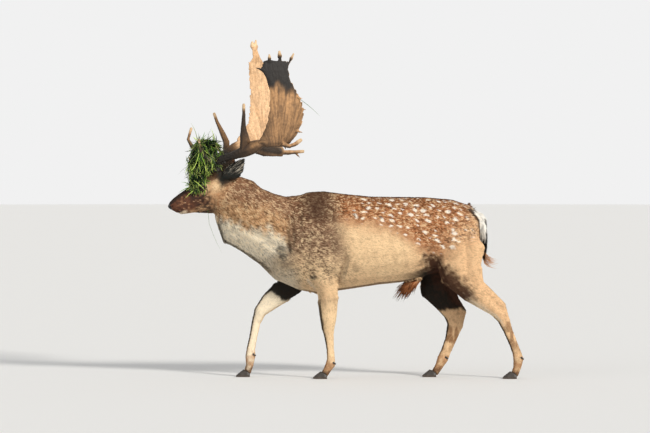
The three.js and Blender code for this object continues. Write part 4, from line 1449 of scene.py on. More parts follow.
@dataclass
class Coat:
    """The hair: overlapping tufts that follow the lie of the coat over the whole skin."""

    skin: Object
    surface: Skin
    rng: Random
    most: int = 30_000
    patch: float = 0.003
    clump: tuple[float, float, float] = (0.0038, 0.0038, 0.0046)
    crowd: float = 2.6
    blending: int = 26
    sink: float = 0.0006

    # A tuft's root, left, right, ridge and tip: shares of its length, half width, lift and curl.
    SHAPE = np.array([[0, 0, 0, 0], [0.4, 1, 0.35, 0], [0.4, -1, 0.35, 0], [0.46, 0, 1, 0.4], [1, 0, 0.9, 1]])
    # The way each corner's normal leans: shares of the skin's normal, aside and along the hair.
    SHINE = np.array([[1, 0, -0.1], [1, 0.28, 0], [1, -0.28, 0], [1, 0, 0], [1, 0, 0.22]])
    FACES = np.array([[0, 3, 1], [0, 2, 3], [4, 1, 3], [4, 3, 2], [0, 1, 2], [4, 2, 1]])
    ACROSS = np.array([0.0, -1.0, 1.0, 0.0, 0.0])
    PATCH = np.array([[0, -0.5], [-0.4, -0.05], [0.4, -0.05], [0, 0.0], [0, 0.5]])
    # How far along the tuft each corner takes its hue from, and its shade.
    HUE_STOPS = (0.1, 0.45, 0.9)
    SHADES = ((0, 0.7), (1, 0.96), (1, 0.96), (1, 1.02), (2, 1.06))

    def roots(self) -> Roots:
        """Scatters roots over the skin, evenly and closer where the pelt is fine."""
        mesh = self.skin.data
        mesh.calc_loop_triangles()
        corners = read(mesh, "loop_triangles", "vertices", 3)
        loops = read(mesh, "loop_triangles", "loops", 3)
        points, normals = read(mesh), normals_of(mesh)
        share, lie = self.surface.zones_of(mesh, self.blending)
        bare = self.surface.bare(points)
        a, b, c = (points[corners[:, i]] for i in range(3))
        area = norms(np.cross(b - a, c - a)) / 2
        spacing = share @ of_zones("spacing")
        wanted = area * self.crowd / spacing[corners].mean(axis=1) ** 2
        wanted *= bare[corners].max(axis=1) < 0.4
        counts = np.floor(wanted + self.rng.random(len(wanted))).astype(int)
        face = np.repeat(np.arange(len(counts)), counts)
        one, two = self.rng.random((2, len(face)))
        over = one + two > 1
        one, two = np.where(over, 1 - one, one), np.where(over, 1 - two, two)
        weights = np.stack([1 - one - two, one, two], axis=1)[:, :, None]
        flat = np.empty(len(mesh.loops) * 2, np.float32)
        mesh.uv_layers[BAKE_MAP].data.foreach_get("uv", flat)
        flat = flat.reshape(-1, 2).astype(float)

        def at(values: Array, table: Array = corners) -> Array:
            """Values of the skin at the roots."""
            return (values[table[face]] * weights).sum(axis=1)

        places = at(points)
        cells = np.floor(places / at(spacing[:, None])).astype(np.int64)
        _, first = np.unique(cells @ np.array([1, 4096, 4096**2]), return_index=True)
        found = Roots(places, unit(at(normals)), at(lie), at(flat, loops), at(share))
        return found.only(np.sort(first))

    def build(self) -> list[Object]:
        """Makes the tufts, in one piece or a few for each zone."""
        roots = self.roots()
        pieces = []
        for zone in Zone:
            mine = roots.only(roots.share.argmax(axis=1) == zone)
            order = np.argsort(mine.points[:, 0])
            parts = max(1, math.ceil(len(mine) / self.most))
            for index, chunk in enumerate(np.array_split(order, parts)):
                name = f"coat_{zone.name.lower()}" + (f"_{index + 1}" if parts > 1 else "")
                pieces.append((zone, self.tufts(name, mine.only(chunk))))
        return pieces

    def tufts(self, name: str, roots: Roots) -> Object:
        """Makes one piece of the coat.

        Args:
            name: The piece's name.
            roots: Where its tufts grow.

        Returns:
            The piece, a closed sliver of six faces to each tuft.
        """
        count = len(roots)
        luck = self.rng.random((count, 6))
        value = {field: roots.share @ of_zones(field) for field in ("length", "width", "lift")}
        normal = roots.normals
        swirl = (noise(roots.points, 0.045, 41) - 0.5) * 0.7 + (luck[:, 0] - 0.5) * 0.5
        lie = unit(roots.lie - (roots.lie * normal).sum(axis=1, keepdims=True) * normal)
        side = np.cross(normal, lie)
        lie = lie * np.cos(swirl)[:, None] + side * np.sin(swirl)[:, None]
        side = np.cross(normal, lie)
        length = (value["length"] * (0.7 + 0.6 * luck[:, 1]))[:, None]
        width = (value["width"] * (0.75 + 0.5 * luck[:, 2]))[:, None] / 2
        lift = (value["lift"] * (0.55 + 0.75 * luck[:, 3]))[:, None]
        curl = side * (luck[:, 4, None] - 0.5) * width * 1.2
        parts = np.stack([lie * length, side * width, normal * lift, curl], axis=1)
        corners = (roots.points - normal * self.sink)[:, None] + self.SHAPE @ parts
        faces = (np.arange(count)[:, None, None] * 5 + self.FACES).reshape(-1, 3)
        mesh = built(name, corners.reshape(-1, 3), faces)
        shine = self.SHINE @ np.stack([normal, side, lie], axis=1)
        mesh.normals_split_custom_set_from_vertices(unit(shine.reshape(-1, 3)))
        store(mesh, HUE, self.shaded(roots, lie * length, luck[:, 5]).reshape(-1, 3))
        store(mesh, STRAND, (luck[:, :1] * 40 + self.ACROSS).ravel())
        flat = np.clip(roots.flat, self.patch, 1 - self.patch)[:, None] + self.PATCH * self.patch
        layer = mesh.uv_layers.new(name=BAKE_MAP)
        layer.data.foreach_set("uv", flat.reshape(-1, 2)[faces.ravel()].astype(np.float32).ravel())
        return add_object(name, mesh)

    def shaded(self, roots: Roots, way: Array, luck: Array) -> Array:
        """Each tuft's colours, at its five corners.

        Args:
            roots: Where the tufts grow.
            way: From each root to its tip.
            luck: A random number for each tuft, low for a dark tuft and high for a pale one.

        Returns:
            Five colours to a tuft.
        """
        marks = self.surface.markings
        clump = 0.72 * noise(roots.points, self.clump, 42) + 0.28 * noise(roots.points, 0.013, 43)
        luck = np.clip(0.5 + (clump - 0.5) * 1.6 + (luck - 0.5) * 0.55, 0, 1)
        stops = (roots.points + way * part for part in self.HUE_STOPS)
        hues = [marks.colours(places, roots.normals, roots.share) for places in stops]
        force = marks.grizzle(roots.points, roots.share)
        dark, pale = force * ramp(0.48, 0.16, luck), 0.8 * force * ramp(0.6, 0.9, luck)
        dark = dark * (1 - 0.8 * ramp(0.72, 0.84, hues[1].mean(axis=1)))
        pale = pale * ramp(0.03, 0.16, hues[1].mean(axis=1))
        hues = [layered(hue, (Hue.TUFT_DARK, dark), (Hue.TUFT_PALE, pale)) for hue in hues]
        return np.stack([hues[stop] * shade for stop, shade in self.SHADES], axis=1)


@dataclass
class Strands:
    """Long, tapered hairs, each a bent three-sided sliver, for brushes and fringes."""

    name: str
    rng: Random
    width: float = 0.0022
    stations: tuple[float, ...] = (0.0, 0.35, 0.7)
    swell: tuple[float, ...] = (0.7, 1.0, 0.75)

    def build(self, roots: Array, starts: Array, ends: Array, hues: Array, tips: Array) -> Object:
        """Makes the hairs.

        Args:
            roots: Where each hair starts.
            starts: The way and distance that it first heads.
            ends: The way and distance from its middle to its tip.
            hues: Its colour at the root.
            tips: Its colour at the tip.

        Returns:
            One piece holding all the hairs.
        """
        count, steps = len(roots), len(self.stations)
        turn = self.rng.random((count, 1, 1)) * math.tau
        way = unit(starts + ends)
        side = unit(np.cross(way, unit(self.rng.normal(size=(count, 3)))))
        up = np.cross(way, side)
        rows, shades = [], []
        for station, size in zip((*self.stations, 1.0), (*self.swell, 0.0)):
            centre = roots + starts * station + (ends - starts) * station**2 / 2
            angle = turn[:, 0] + np.arange(3 if size else 1) * math.tau / 3
            ring = np.cos(angle)[:, :, None] * side[:, None] + np.sin(angle)[:, :, None] * up[:, None]
            rows.append(centre[:, None] + ring * self.width / 2 * size)
            hue = hues + (tips - hues) * station
            shades.append(np.repeat(hue[:, None] * (0.75 + 0.35 * station), ring.shape[1], axis=1))
        size = steps * 3 + 1
        every = (np.arange(count)[:, None, None] * size + sliver(steps, True)).reshape(-1, 3)
        mesh = built(self.name, np.concatenate(rows, axis=1).reshape(-1, 3), every)
        shade_smooth(mesh)
        store(mesh, HUE, np.concatenate(shades, axis=1).reshape(-1, 3))
        store(mesh, STRAND, np.repeat(self.rng.random(count) * 40, size))
        return add_object(self.name, mesh)


@dataclass
class Brushes:
    """The long hair of the tail and the sheath."""

    surface: Skin
    skin: Object
    rng: Random
    tail_hairs: int = 1700
    tail_root: float = 0.795
    wisp_hairs: int = 46
    sheath_hairs: int = 420

    def pick(self, zone: Zone, count: int, keep: Array) -> tuple[Array, Array]:
        """Picks roots within one zone of the skin.

        Args:
            zone: The zone.
            count: How many roots.
            keep: Whether hair may grow at each vertex of the skin.

        Returns:
            The roots' places and normals.
        """
        mesh = self.skin.data
        share, _ = self.surface.zones_of(mesh, 4)
        chosen = self.rng.choice(np.flatnonzero((share[:, zone] > 0.6) & keep), count)
        jitter = self.rng.normal(size=(count, 3)) * 0.0012
        return read(mesh)[chosen] + jitter, normals_of(mesh)[chosen]

    def tail(self) -> Object:
        """The tail's hair: white at the sides, black along the top and at the end, with a tan wisp."""
        low = box_of("tail")[0, 2]
        points, normals = self.pick(Zone.TAIL, self.tail_hairs, read(self.skin.data)[:, 2] < self.tail_root)
        down = np.array([0.08, 0.0, -1.0])
        reach = 0.028 + 0.02 * self.rng.random((len(points), 1))
        reach = np.minimum(reach, np.maximum(points[:, 2, None] - low, 0) + 0.034)
        starts = unit(down + normals * 0.2) * reach
        ends = unit(down + normals * 0.02 + self.rng.normal(size=points.shape) * 0.06) * reach
        white = ramp(0.84, 0.68, normals[:, 0]) * ramp(0.665, 0.69, points[:, 2])
        hues = layered(plain(Hue.BLACK, len(points)), (Hue.WHITE, white))
        count = self.wisp_hairs
        end = self.rng.choice(np.flatnonzero(points[:, 2] < low + 0.045), count)
        wisp = points[end] + self.rng.normal(size=(count, 3)) * 0.0015 - [0, 0, 0.024]
        back = np.array([0.004, 0.0, -0.08]) * (0.8 + 0.3 * self.rng.random((count, 1)))
        out = np.array([0.125, 0.0, -0.02]) * (0.5 + 0.6 * self.rng.random((count, 1)))
        hues = np.concatenate([hues, plain(Hue.WISP, count)])
        roots, starts, ends = (np.concatenate(pair) for pair in ((points, wisp), (starts, back), (ends, out)))
        return Strands("tail_hair", self.rng).build(roots, starts, ends, hues, hues)

    def sheath(self) -> Object:
        """The brush of long brown hair on the sheath, lying forward above and hanging below."""
        low, high = box_of("sheath")
        height = read(self.skin.data)[:, 2]
        tall = high[2] - low[2]
        points, normals = self.pick(Zone.SHEATH, self.sheath_hairs, height < low[2] + 0.7 * tall)
        rise = (points[:, 2, None] - low[2]) / tall
        ahead = np.array([-1.0, 0.0, -0.3]) * rise + np.array([-0.45, 0.0, -1.0]) * (1 - rise)
        reach = 0.02 + 0.06 * self.rng.random((len(points), 1)) ** 1.4
        starts = unit(ahead + normals * 0.35 + self.rng.normal(size=points.shape) * 0.12) * reach
        ends = unit(ahead + np.array([0, 0, -0.5]) + self.rng.normal(size=points.shape) * 0.22) * reach
        luck = self.rng.random((len(points), 1))
        hues = Hue.BRUSH.linear * (0.9 + 0.7 * luck)
        tips = Hue.BRUSH_TIP.linear * (0.3 + 0.7 * luck)
        return Strands("sheath_brush", self.rng, 0.0027).build(points, starts, ends, hues, tips)


# ---- antlers, claws, eyes ----


@dataclass
class Antler:
    """One palmate antler: burr, beam, tines and palm in one grooved piece."""

    side: str
    body: Body
    voxel: float = 0.0027
    groove: float = 0.0013
    pearl: float = 0.0022
    blunt: float = 0.002
    spike_root: float = 0.004

    PARTS = ("beam", "brow_tine", "trez_tine", "palm", "rear_tine")
    # Places where the antler thickens: distance ahead of the rump, height, reach, rise.
    SWELLS = {
        "left": ((1.1, 1.098, 0.06, 0.012), (1.14, 1.15, 0.035, 0.004), (0.905, 1.12, 0.04, 0.0025)),
        "right": ((0.93, 1.078, 0.045, 0.0045), (1.19, 1.17, 0.04, 0.003), (1.15, 1.09, 0.06, 0.004)),
    }
    # Ends of the palms' upper spikes: distance ahead of the rump, height.
    SPIKES = {
        "left": ((1.011, 1.535), (0.963, 1.549), (0.899, 1.535)),
        "right": ((1.102, 1.603), (1.083, 1.603)),
    }

    # Where shadow is painted under the far antler's palm, cast by the near palm: start and end as distance
    # ahead of the rump and height.
    UNDER_PALM = ((1.06, 1.098), (0.975, 1.078))

    @property
    def nodes(self) -> list[str]:
        """The solids that the piece stands for."""
        return [f"antler_{self.side}_{part}" for part in self.PARTS]

    def build(self) -> Object:
        """Makes the antler."""
        obj = remade(f"antler_{self.side}", copies(self.nodes), self.voxel)
        points = read(obj.data)
        tip = self.tips(points)
        move(obj.data, relaxed(obj, 12, np.clip(1 - 0.9 * tip, 0.05, 1)))
        points, normals = read(obj.data), normals_of(obj.data)
        swell = tip * self.blunt
        seen = self.body.seen(points)[:, [0, 2]]
        for ahead, height, reach, rise in self.SWELLS[self.side]:
            swell += rise * np.exp(-((norms(seen - (ahead, height)) / reach) ** 2))
        for ahead, height in self.SPIKES[self.side]:
            far = norms(seen - (ahead, height))
            swell += self.spike_root * hump(0.026, 0.02, far)
        move(obj.data, points + normals * swell[:, None])
        self.score(obj.data, tip)
        shade_smooth(obj.data)
        return obj

    def score(self, mesh: Mesh, tip: Array) -> None:
        """Cuts the grooves that run up the antler, pearls its base and colours it."""
        points, normals = read(mesh), normals_of(mesh)
        along, across = self.run(points)
        streak = noise(np.stack([across / 0.004, along / 0.028, across * 0], axis=1), 1.0, 51)
        broad = noise(np.stack([across / 0.012, along / 0.07, across * 0], axis=1), 1.0, 52)
        beam = solid_of(self.nodes[0])
        burr = beam[norms(beam - self.body.head.origin).argmin()]
        near_base = 1 - ramp(0.1, 0.24, norms(points - burr))
        pearls = ramp(0.5, 0.8, noise(points, 0.0065, 53)) * near_base
        depth = -np.abs(streak - 0.5) * 2 * self.groove + (broad - 0.5) * self.groove * 1.4
        move(mesh, points + normals * (depth * (1 - tip) + pearls * self.pearl)[:, None])
        store(mesh, HUE, self.colours(points, normals, (streak, broad), tip, near_base))

    def colours(self, points: Array, normals: Array, grooves: tuple, tip: Array, base: Array) -> Array:
        """The antler's colours, with painted shade and shadow and a painted highlight on the palm's rim.

        Args:
            points: Places before the grooves are cut.
            normals: The normals there.
            grooves: The patterns of the fine and of the broad grooves.
            tip: 1 at the ends of the tines.
            base: 1 near the burr.

        Returns:
            One colour to a place.
        """
        streak, broad = grooves
        cloud = noise(points, 0.045, 54)
        out = normals[:, 1] * SIDES[self.side]
        low, high = box_of(self.nodes[3])
        back, _, rise = ((points - low) / (high - low)).T
        on_palm = ramp(-0.02, 0.14, rise) * ramp(-0.05, 0.05, back)
        front, inner = ramp(-0.3, 0.3, out), ramp(0.05, -0.45, out)
        flecks = ramp(0.38, 0.7, 0.5 * streak + 0.3 * broad + 0.2 * cloud)
        # Painted shadow over the upper part of the palm's outer face and along its front edge.
        palm_shadow = ramp(0.555, 0.665, rise + 0.09 * (cloud - 0.5) + 0.07 * (broad - 0.5))
        palm_shadow = palm_shadow * (0.9 + 0.1 * ramp(0.9, 0.6, back))
        palm_shadow = np.maximum(palm_shadow, 0.85 * ramp(0.4, 0.08, back) * ramp(0.0, 0.2, rise)) * front
        off_palm, off_tip = 1 - on_palm, 1 - tip
        rim = ramp(0.85, 0.5, np.abs(normals[:, 1]))
        under = ramp(0.1, -0.5, normals[:, 2]) * (1 - on_palm * ramp(0.3, 0.5, rise))
        # Painted shadow under the far palm.
        hollow = far_from(self.body.seen(points)[:, [0, 2]], *self.UNDER_PALM)
        colour = layered(
            plain(Hue.ANTLER, len(points)),
            (Hue.ANTLER_DARK, 0.62 * flecks),
            (Hue.ANTLER_PALE, 0.95 * inner * on_palm),
            (Hue.ANTLER, 0.45 * inner * ramp(0.5, 0.7, 0.5 * broad + 0.5 * cloud)),
            (Hue.BURR, 0.99 * palm_shadow * off_tip),
            # The palm's pale rim: partly paler polished edges, partly a painted highlight.
            (Hue.ANTLER_PALE, 0.75 * rim * ramp(0.35, 0.75, back) * on_palm),
            # Painted shade on the beam and tines where they face ahead, and on every underside.
            (Hue.ANTLER_DARK, 0.88 * ramp(-0.15, -0.7, normals[:, 0]) * off_palm * off_tip),
            (Hue.ANTLER_DARK, 0.85 * under * off_tip),
            # Painted shade on the lower part of the palm's inner face.
            (Hue.ANTLER_DARK, 0.7 * ramp(0.1, 0.03, rise) * ramp(0.9, 0.6, back) * (1 - front)),
            (Hue.ANTLER_DARK, 0.25 * off_palm * off_tip),
            (Hue.BURR, 0.92 * (self.side == "right") * ramp(0.03, 0.012, hollow) * (1 - front)),
            # The dark base by the burr: partly the antler's own colour, partly painted shade.
            (Hue.BURR, 0.99 * base),
            (Hue.ANTLER_TIP, 0.7 * ramp(0.4, 0.95, tip)),
        )
        # The painted shadow also dims the palm's upper part.
        return colour * ((0.74 + 0.5 * streak) * (1 - 0.45 * palm_shadow * off_tip))[:, None]

    def run(self, points: Array) -> tuple[Array, Array]:
        """How far up the antler, and how far across its run, each point lies.

        Args:
            points: Places on the antler.

        Returns:
            Two distances for each place.
        """
        best = np.full(len(points), np.inf)
        along, across = np.zeros(len(points)), np.zeros(len(points))
        for node in self.nodes:
            solid = solid_of(node)
            low = solid[np.argsort(solid[:, 2])[: len(solid) // 6]].mean(axis=0)
            middle = solid.mean(axis=0)
            axis = np.linalg.svd(solid - middle, full_matrices=False)[2][0]
            reach = (solid - middle) @ axis
            ends = middle + np.outer([reach.min(), reach.max()], axis)
            far = far_from(points, ends[0], ends[1])
            if node.endswith("palm"):
                far = far - 0.09
                way = points - (low - np.array([0, 0, 0.12]))
                up = np.hypot(way[:, 0], way[:, 2])
                turn = np.arctan2(way[:, 0], way[:, 2]) * 0.3 + way[:, 1]
            else:
                up = points @ axis
                side = unit(np.cross(axis, [0.0, 1.0, 0.1]))
                way = points - ends[0]
                turn = np.arctan2(way @ np.cross(axis, side), way @ side) * 0.018
            mine = far < best
            best = np.where(mine, far, best)
            along, across = np.where(mine, up, along), np.where(mine, turn, across)
        return along, across

    def tips(self, points: Array) -> Array:
        """1 at the ends of the tines and of the palm's spikes, falling to 0 along them."""
        found = np.zeros(len(points))
        root = middle_of(self.nodes[0])
        for node in self.nodes[1:]:
            if node.endswith("palm"):
                continue
            solid = solid_of(node)
            end = solid[norms(solid - root).argmax()]
            found = np.maximum(found, 1 - ramp(0.008, 0.052, norms(points - end)))
        seen = self.body.seen(points)[:, [0, 2]]
        mine = points[:, 1] * SIDES[self.side] > 0
        for spike in self.SPIKES[self.side]:
            found = np.maximum(found, (1 - ramp(0.01, 0.034, norms(seen - spike))) * mine)
        return found


@dataclass
class Foot:
    """The claws and dewclaws of one foot: ringed horn with flat soles."""

    leg: str
    voxel: float = 0.0016
    ring: float = 0.00035
    ring_pitch: float = 0.0042
    dewclaw_length: float = 0.55
    dewclaw_swell: float = 0.0012

    @property
    def nodes(self) -> list[str]:
        """The solids that the piece stands for."""
        return [f"{self.leg}_{part}_{side}" for part in ("hoof", "dewclaw") for side in ("inner", "outer")]

    def build(self) -> Object:
        """Makes the claws."""
        obj = remade(f"{self.leg}_claws", copies(self.nodes), self.voxel)
        mesh = obj.data
        points = read(mesh)
        for node in self.nodes[2:]:
            low, high = box_of(node)
            mine = ((points > low - 0.002) & (points < high + 0.002)).all(axis=1)
            base = np.array([low[0], (low[1] + high[1]) / 2, high[2]])
            way = points[mine] - base
            points[mine] = base + way * self.dewclaw_length + normals_of(mesh)[mine] * self.dewclaw_swell
        move(mesh, points)
        sole = read(mesh)[:, 2] < 0.0012
        points = relaxed(obj, 14)
        rings = np.sin((points[:, 2] - 0.35 * points[:, 0]) / self.ring_pitch * math.tau)
        move(mesh, points)
        points = points + normals_of(mesh) * ((rings - 1) * self.ring)[:, None]
        points[:, 2] = np.where(sole, 0.0, np.maximum(points[:, 2], 0.0))
        move(mesh, points)
        shade_smooth(mesh)
        wear = 1 - ramp(0.0, 0.012, points[:, 2])
        horn = plain(Hue.HORN, len(points))
        store(mesh, HUE, layered(horn, (Hue.HORN_PALE, 0.7 * wear + 0.12 * (rings + 1))))
        return obj


@dataclass
class Eye:
    """One wet, dark eyeball with a wide pupil lying level."""

    side: str
    body: Body
    radius: float = 0.0158
    cornea: float = 0.0009
    pupil: tuple[float, float] = (0.0052, 0.0026)
    iris: float = 0.0098

    def build(self) -> Object:
        """Makes the eyeball."""
        sign, head = -SIDES[self.side], self.body.head
        out = unit([0.3, sign * 0.95, 0.1]) @ head.axes
        centre = head.world(HeadFrame.EYE * [1, sign, 1])
        mesh = bpy.data.meshes.new(f"eyeball_{self.side}")
        turn = Vector((0, 0, 1)).rotation_difference(Vector(out)).to_matrix().to_4x4()
        with reshaped(mesh) as bm:
            bmesh.ops.create_uvsphere(bm, u_segments=56, v_segments=44, radius=self.radius)
            bmesh.ops.transform(bm, matrix=Matrix.Translation(centre) @ turn, verts=bm.verts)
        way = read(mesh) - centre
        level = unit(np.cross([0.0, 0.0, 1.0], out))
        a, b = way @ level, way @ np.cross(level, out)
        far = np.hypot(a, b)
        front = way @ out > 0
        bulge = 1 + self.cornea / self.radius * (1 - ramp(0.004, 0.0105, far)) * front
        move(mesh, centre + way * bulge[:, None])
        streak = noise(np.stack([np.arctan2(b, a) * 8, far * 60, far * 0], axis=1), 1.0, 61)
        pupil = np.hypot(a / self.pupil[0], b / self.pupil[1])
        colour = layered(
            plain(Hue.LIP, len(way)),
            (Hue.IRIS, front * ramp(self.iris + 0.001, self.iris, far) * (0.7 + 0.3 * streak)),
            (Hue.PUPIL, front * ramp(1.1, 0.9, pupil)),
        )
        store(mesh, HUE, colour)
        shade_smooth(mesh)
        return add_object(f"eyeball_{self.side}", mesh)


# ---- grass ----


@dataclass
class Wreath:
    """The tangle of wet grass caught round the antlers' bases, hanging over the brow."""

    body: Body
    rng: Random
    blades: int = 1500
    on_tine: int = 260
    on_brow: int = 170
    shortest: float = 0.035
    longest: float = 0.115
    widest: float = 0.0078
    stations: int = 7
    core_inset: float = 0.012
    brow_hem: float = 0.868

    # Height of the lower edge against distance ahead of the rump.
    HEM = ((1.26, 1.3, 1.33, 1.37), (0.99, 0.962, 0.905, 0.893))
    # The greens are partly real grass colours and partly lit and shaded copies of one green.
    MIX = ((Hue.GRASS, 0.28), (Hue.GRASS_DARK, 0.3), (Hue.GRASS_LIGHT, 0.32), (Hue.STRAW, 0.1))
    # Two long stems, from root to tip: rows of distances ahead of the rump, aside and of heights.
    STEMS = (
        (
            (1.3, 1.309, 1.3, 1.272, 1.238),
            (-0.085, -0.11, -0.105, -0.085, -0.07),
            (0.905, 0.82, 0.735, 0.655, 0.592),
        ),
        (
            (0.885, 0.846, 0.815, 0.79, 0.775),
            (-0.262, -0.272, -0.27, -0.262, -0.255),
            (1.332, 1.306, 1.28, 1.258, 1.24),
        ),
    )
    STEM_WIDTH = 0.0034

    def build(self) -> list[Object]:
        """Makes the dark mat within, painted near black as shade in the tangle, and the blades over it."""
        core = remade("grass_mat", copies(["grass_wreath"]), 0.005)
        points, normals = relaxed(core, 8), normals_of(core.data)
        fine = noise(points, (0.003, 0.003, 0.02), 73)
        lumps = (noise(points, 0.009, 71) - 0.5) * 0.01 + (fine - 0.5) * 0.005
        points = points - normals * (self.core_inset - lumps)[:, None]
        hem = np.interp(self.body.rump - points[:, 0], *self.HEM) + self.core_inset
        points[:, 2] = np.maximum(points[:, 2], hem)
        move(core.data, points)
        shade_smooth(core.data)
        # The mat's near-black is painted shade deep in the tangle.
        shade = 0.04 + 0.3 * noise(points, (0.004, 0.004, 0.03), 72)
        store(core.data, HUE, Hue.GRASS_DARK.linear * shade[:, None])
        return [core, self.ribbons(*self.lay(*self.seats(points, normals)))]

    def seats(self, points: Array, normals: Array) -> tuple[Array, Array]:
        """Where the blades start, over the mat and wound round the near brow tine.

        Args:
            points: The mat's places.
            normals: Its normals.

        Returns:
            The starts and the ways out of the mat.
        """
        pick = self.rng.choice(len(points), self.blades)
        tine = solid_of("antler_left_brow_tine")
        tine = tine[tine[:, 2] < tine[:, 2].max() - 0.012]
        one, two = tine[self.rng.choice(len(tine), (2, self.on_tine))]
        near = norms(one - two)[:, None] < 0.05
        seats = np.where(near, (one + two) / 2, one) + self.rng.normal(size=(self.on_tine, 3)) * 0.004
        out = unit(self.rng.normal(size=(self.on_tine, 3)) * [1, 1, 0.3] + [-0.3, -0.6, 0])
        brow = self.rng.random((self.on_brow, 3)) * [0.072, 0.016, 0.022] + [0.092, 0.048, 0.04]
        brow = self.body.head.world(brow)
        aside = np.tile(unit([0.1, -0.95, 0.2]), (self.on_brow, 1))
        return np.concatenate([points[pick], seats, brow]), np.concatenate([normals[pick], out, aside])

    def lay(self, start: Array, out: Array) -> tuple[Array, Array, Array]:
        """Lays the blades: their middle lines, colours and widths.

        Args:
            start: Where the blades grow.
            out: The way out of the mat there.

        Returns:
            One middle line, colour and width to a blade.
        """
        count = len(start)
        luck = self.rng.random((count, 7))
        length = self.shortest + (self.longest - self.shortest) * luck[:, 0, None] ** 1.5
        wander = self.rng.normal(size=(count, 3))
        tangle = unit(wander - (wander * out).sum(axis=1, keepdims=True) * out)
        hang = np.array([-0.05, 0.0, -1.0]) * np.where(luck[:, 1, None] < 0.68, 1.7, 0.15)
        top = ramp(1.06, 1.12, start[:, 2])[:, None]
        spray = np.array([0.15, 0.0, 0.55]) * top * (luck[:, 2, None] < 0.35)
        way = unit(tangle + hang * (1 - 0.7 * top) + spray + out * (0.12 + 0.35 * luck[:, 3, None]))
        droop = np.array([0.0, 0.0, -0.8]) * luck[:, 4, None] - out * 0.3
        hem = np.interp(self.body.rump - start[:, 0], *self.HEM)
        hem = np.where(np.arange(count) < count - self.on_brow, hem, self.brow_hem)
        room = np.maximum(start[:, 2] - hem, 0.012)[:, None]
        fall = np.maximum(-(way[:, 2] + droop[:, 2] * 0.5), 0.15)[:, None]
        length = np.minimum(length, room / fall)
        t = np.linspace(0, 1, self.stations)[None, :, None]
        start = start - out * 0.004 - way * length * 0.25
        bend = np.cross(way, out) * (luck[:, 5, None] - 0.5) * 1.3
        paths = start[:, None] + length[:, None] * (way[:, None] * t + (droop * 0.5 + bend)[:, None] * t**2)
        chosen = self.rng.choice(len(self.MIX), count, p=[share for _, share in self.MIX])
        # Painted light and shade: each clump and blade gets its own brightness, a few bright as if lit and
        # most dark as if shaded.
        clump = ramp(0.3, 0.7, noise(start, 0.015, 77))[:, None]
        hues = np.array([hue.linear for hue, _ in self.MIX])[chosen]
        hues = hues * (0.06 + 1.15 * luck[:, 6, None] ** 2.2 + 1.0 * clump)
        widths = self.widest * (0.35 + 0.65 * self.rng.random(count))
        stems = np.array(self.STEMS)
        stems[:, 0] = self.body.rump - stems[:, 0]
        steps = np.linspace(0, stems.shape[2] - 1, self.stations)
        stems = [[np.interp(steps, range(stems.shape[2]), row) for row in stem] for stem in stems]
        paths = np.concatenate([paths, np.swapaxes(stems, 1, 2)])
        hues = np.concatenate([hues, np.tile(Hue.GRASS.linear * 0.8, (len(stems), 1))])
        return paths, hues, np.append(widths, [self.STEM_WIDTH] * len(stems))

    def ribbons(self, paths: Array, hues: Array, widths: Array) -> Object:
        """Makes blades of folded section along their middle lines.

        Args:
            paths: The middle lines.
            hues: A colour for each.
            widths: A width for each.

        Returns:
            One piece holding all the blades.
        """
        count, steps = paths.shape[:2]
        run = unit(np.gradient(paths, axis=1))
        side = unit(np.cross(run, unit(self.rng.normal(size=(count, 1, 3)))))
        keel = np.cross(run, side)
        t = np.linspace(0, 1, steps)
        taper = (np.minimum(1, 0.55 + 1.6 * t) * np.sqrt(np.clip(1 - t, 0.0, 1)) + 0.02)[None, :, None]
        half = widths[:, None, None] / 2 * taper
        rows = np.stack([paths - side * half, paths + side * half, paths + keel * half * 0.55], axis=2)
        every = (np.arange(count)[:, None, None] * steps * 3 + sliver(steps, False)[:, ::-1]).reshape(-1, 3)
        mesh = built("grass_blades", rows.reshape(-1, 3), every)
        shade = (0.35 + 0.85 * t)[None, :, None, None] * np.array([1.0, 1.0, 0.72])[None, None, :, None]
        store(mesh, HUE, (hues[:, None, None] * shade).reshape(-1, 3))
        return add_object("grass_blades", mesh)


# ---- finishes ----


@dataclass
class Graph:
    """A node tree with a short way to add nodes and join them."""

    tree: Tree

    def add(self, kind: str, inputs: dict | None = None, **settings) -> bpy.types.Node:
        """Adds a node.

        Args:
            kind: The node's type, without ShaderNode.
            inputs: Values or sockets for its inputs, by name or number.
            **settings: Other properties of the node.

        Returns:
            The node.
        """
        node = self.tree.nodes.new(f"ShaderNode{kind}")
        for name, value in settings.items():
            setattr(node, name, value)
        for name, value in (inputs or {}).items():
            self.feed(node.inputs[name], value)
        return node

    def feed(self, socket: Socket, value: Socket | float) -> None:
        """Joins a socket to another, or sets its value."""
        if isinstance(value, Socket):
            self.tree.links.new(value, socket)
        else:
            socket.default_value = value


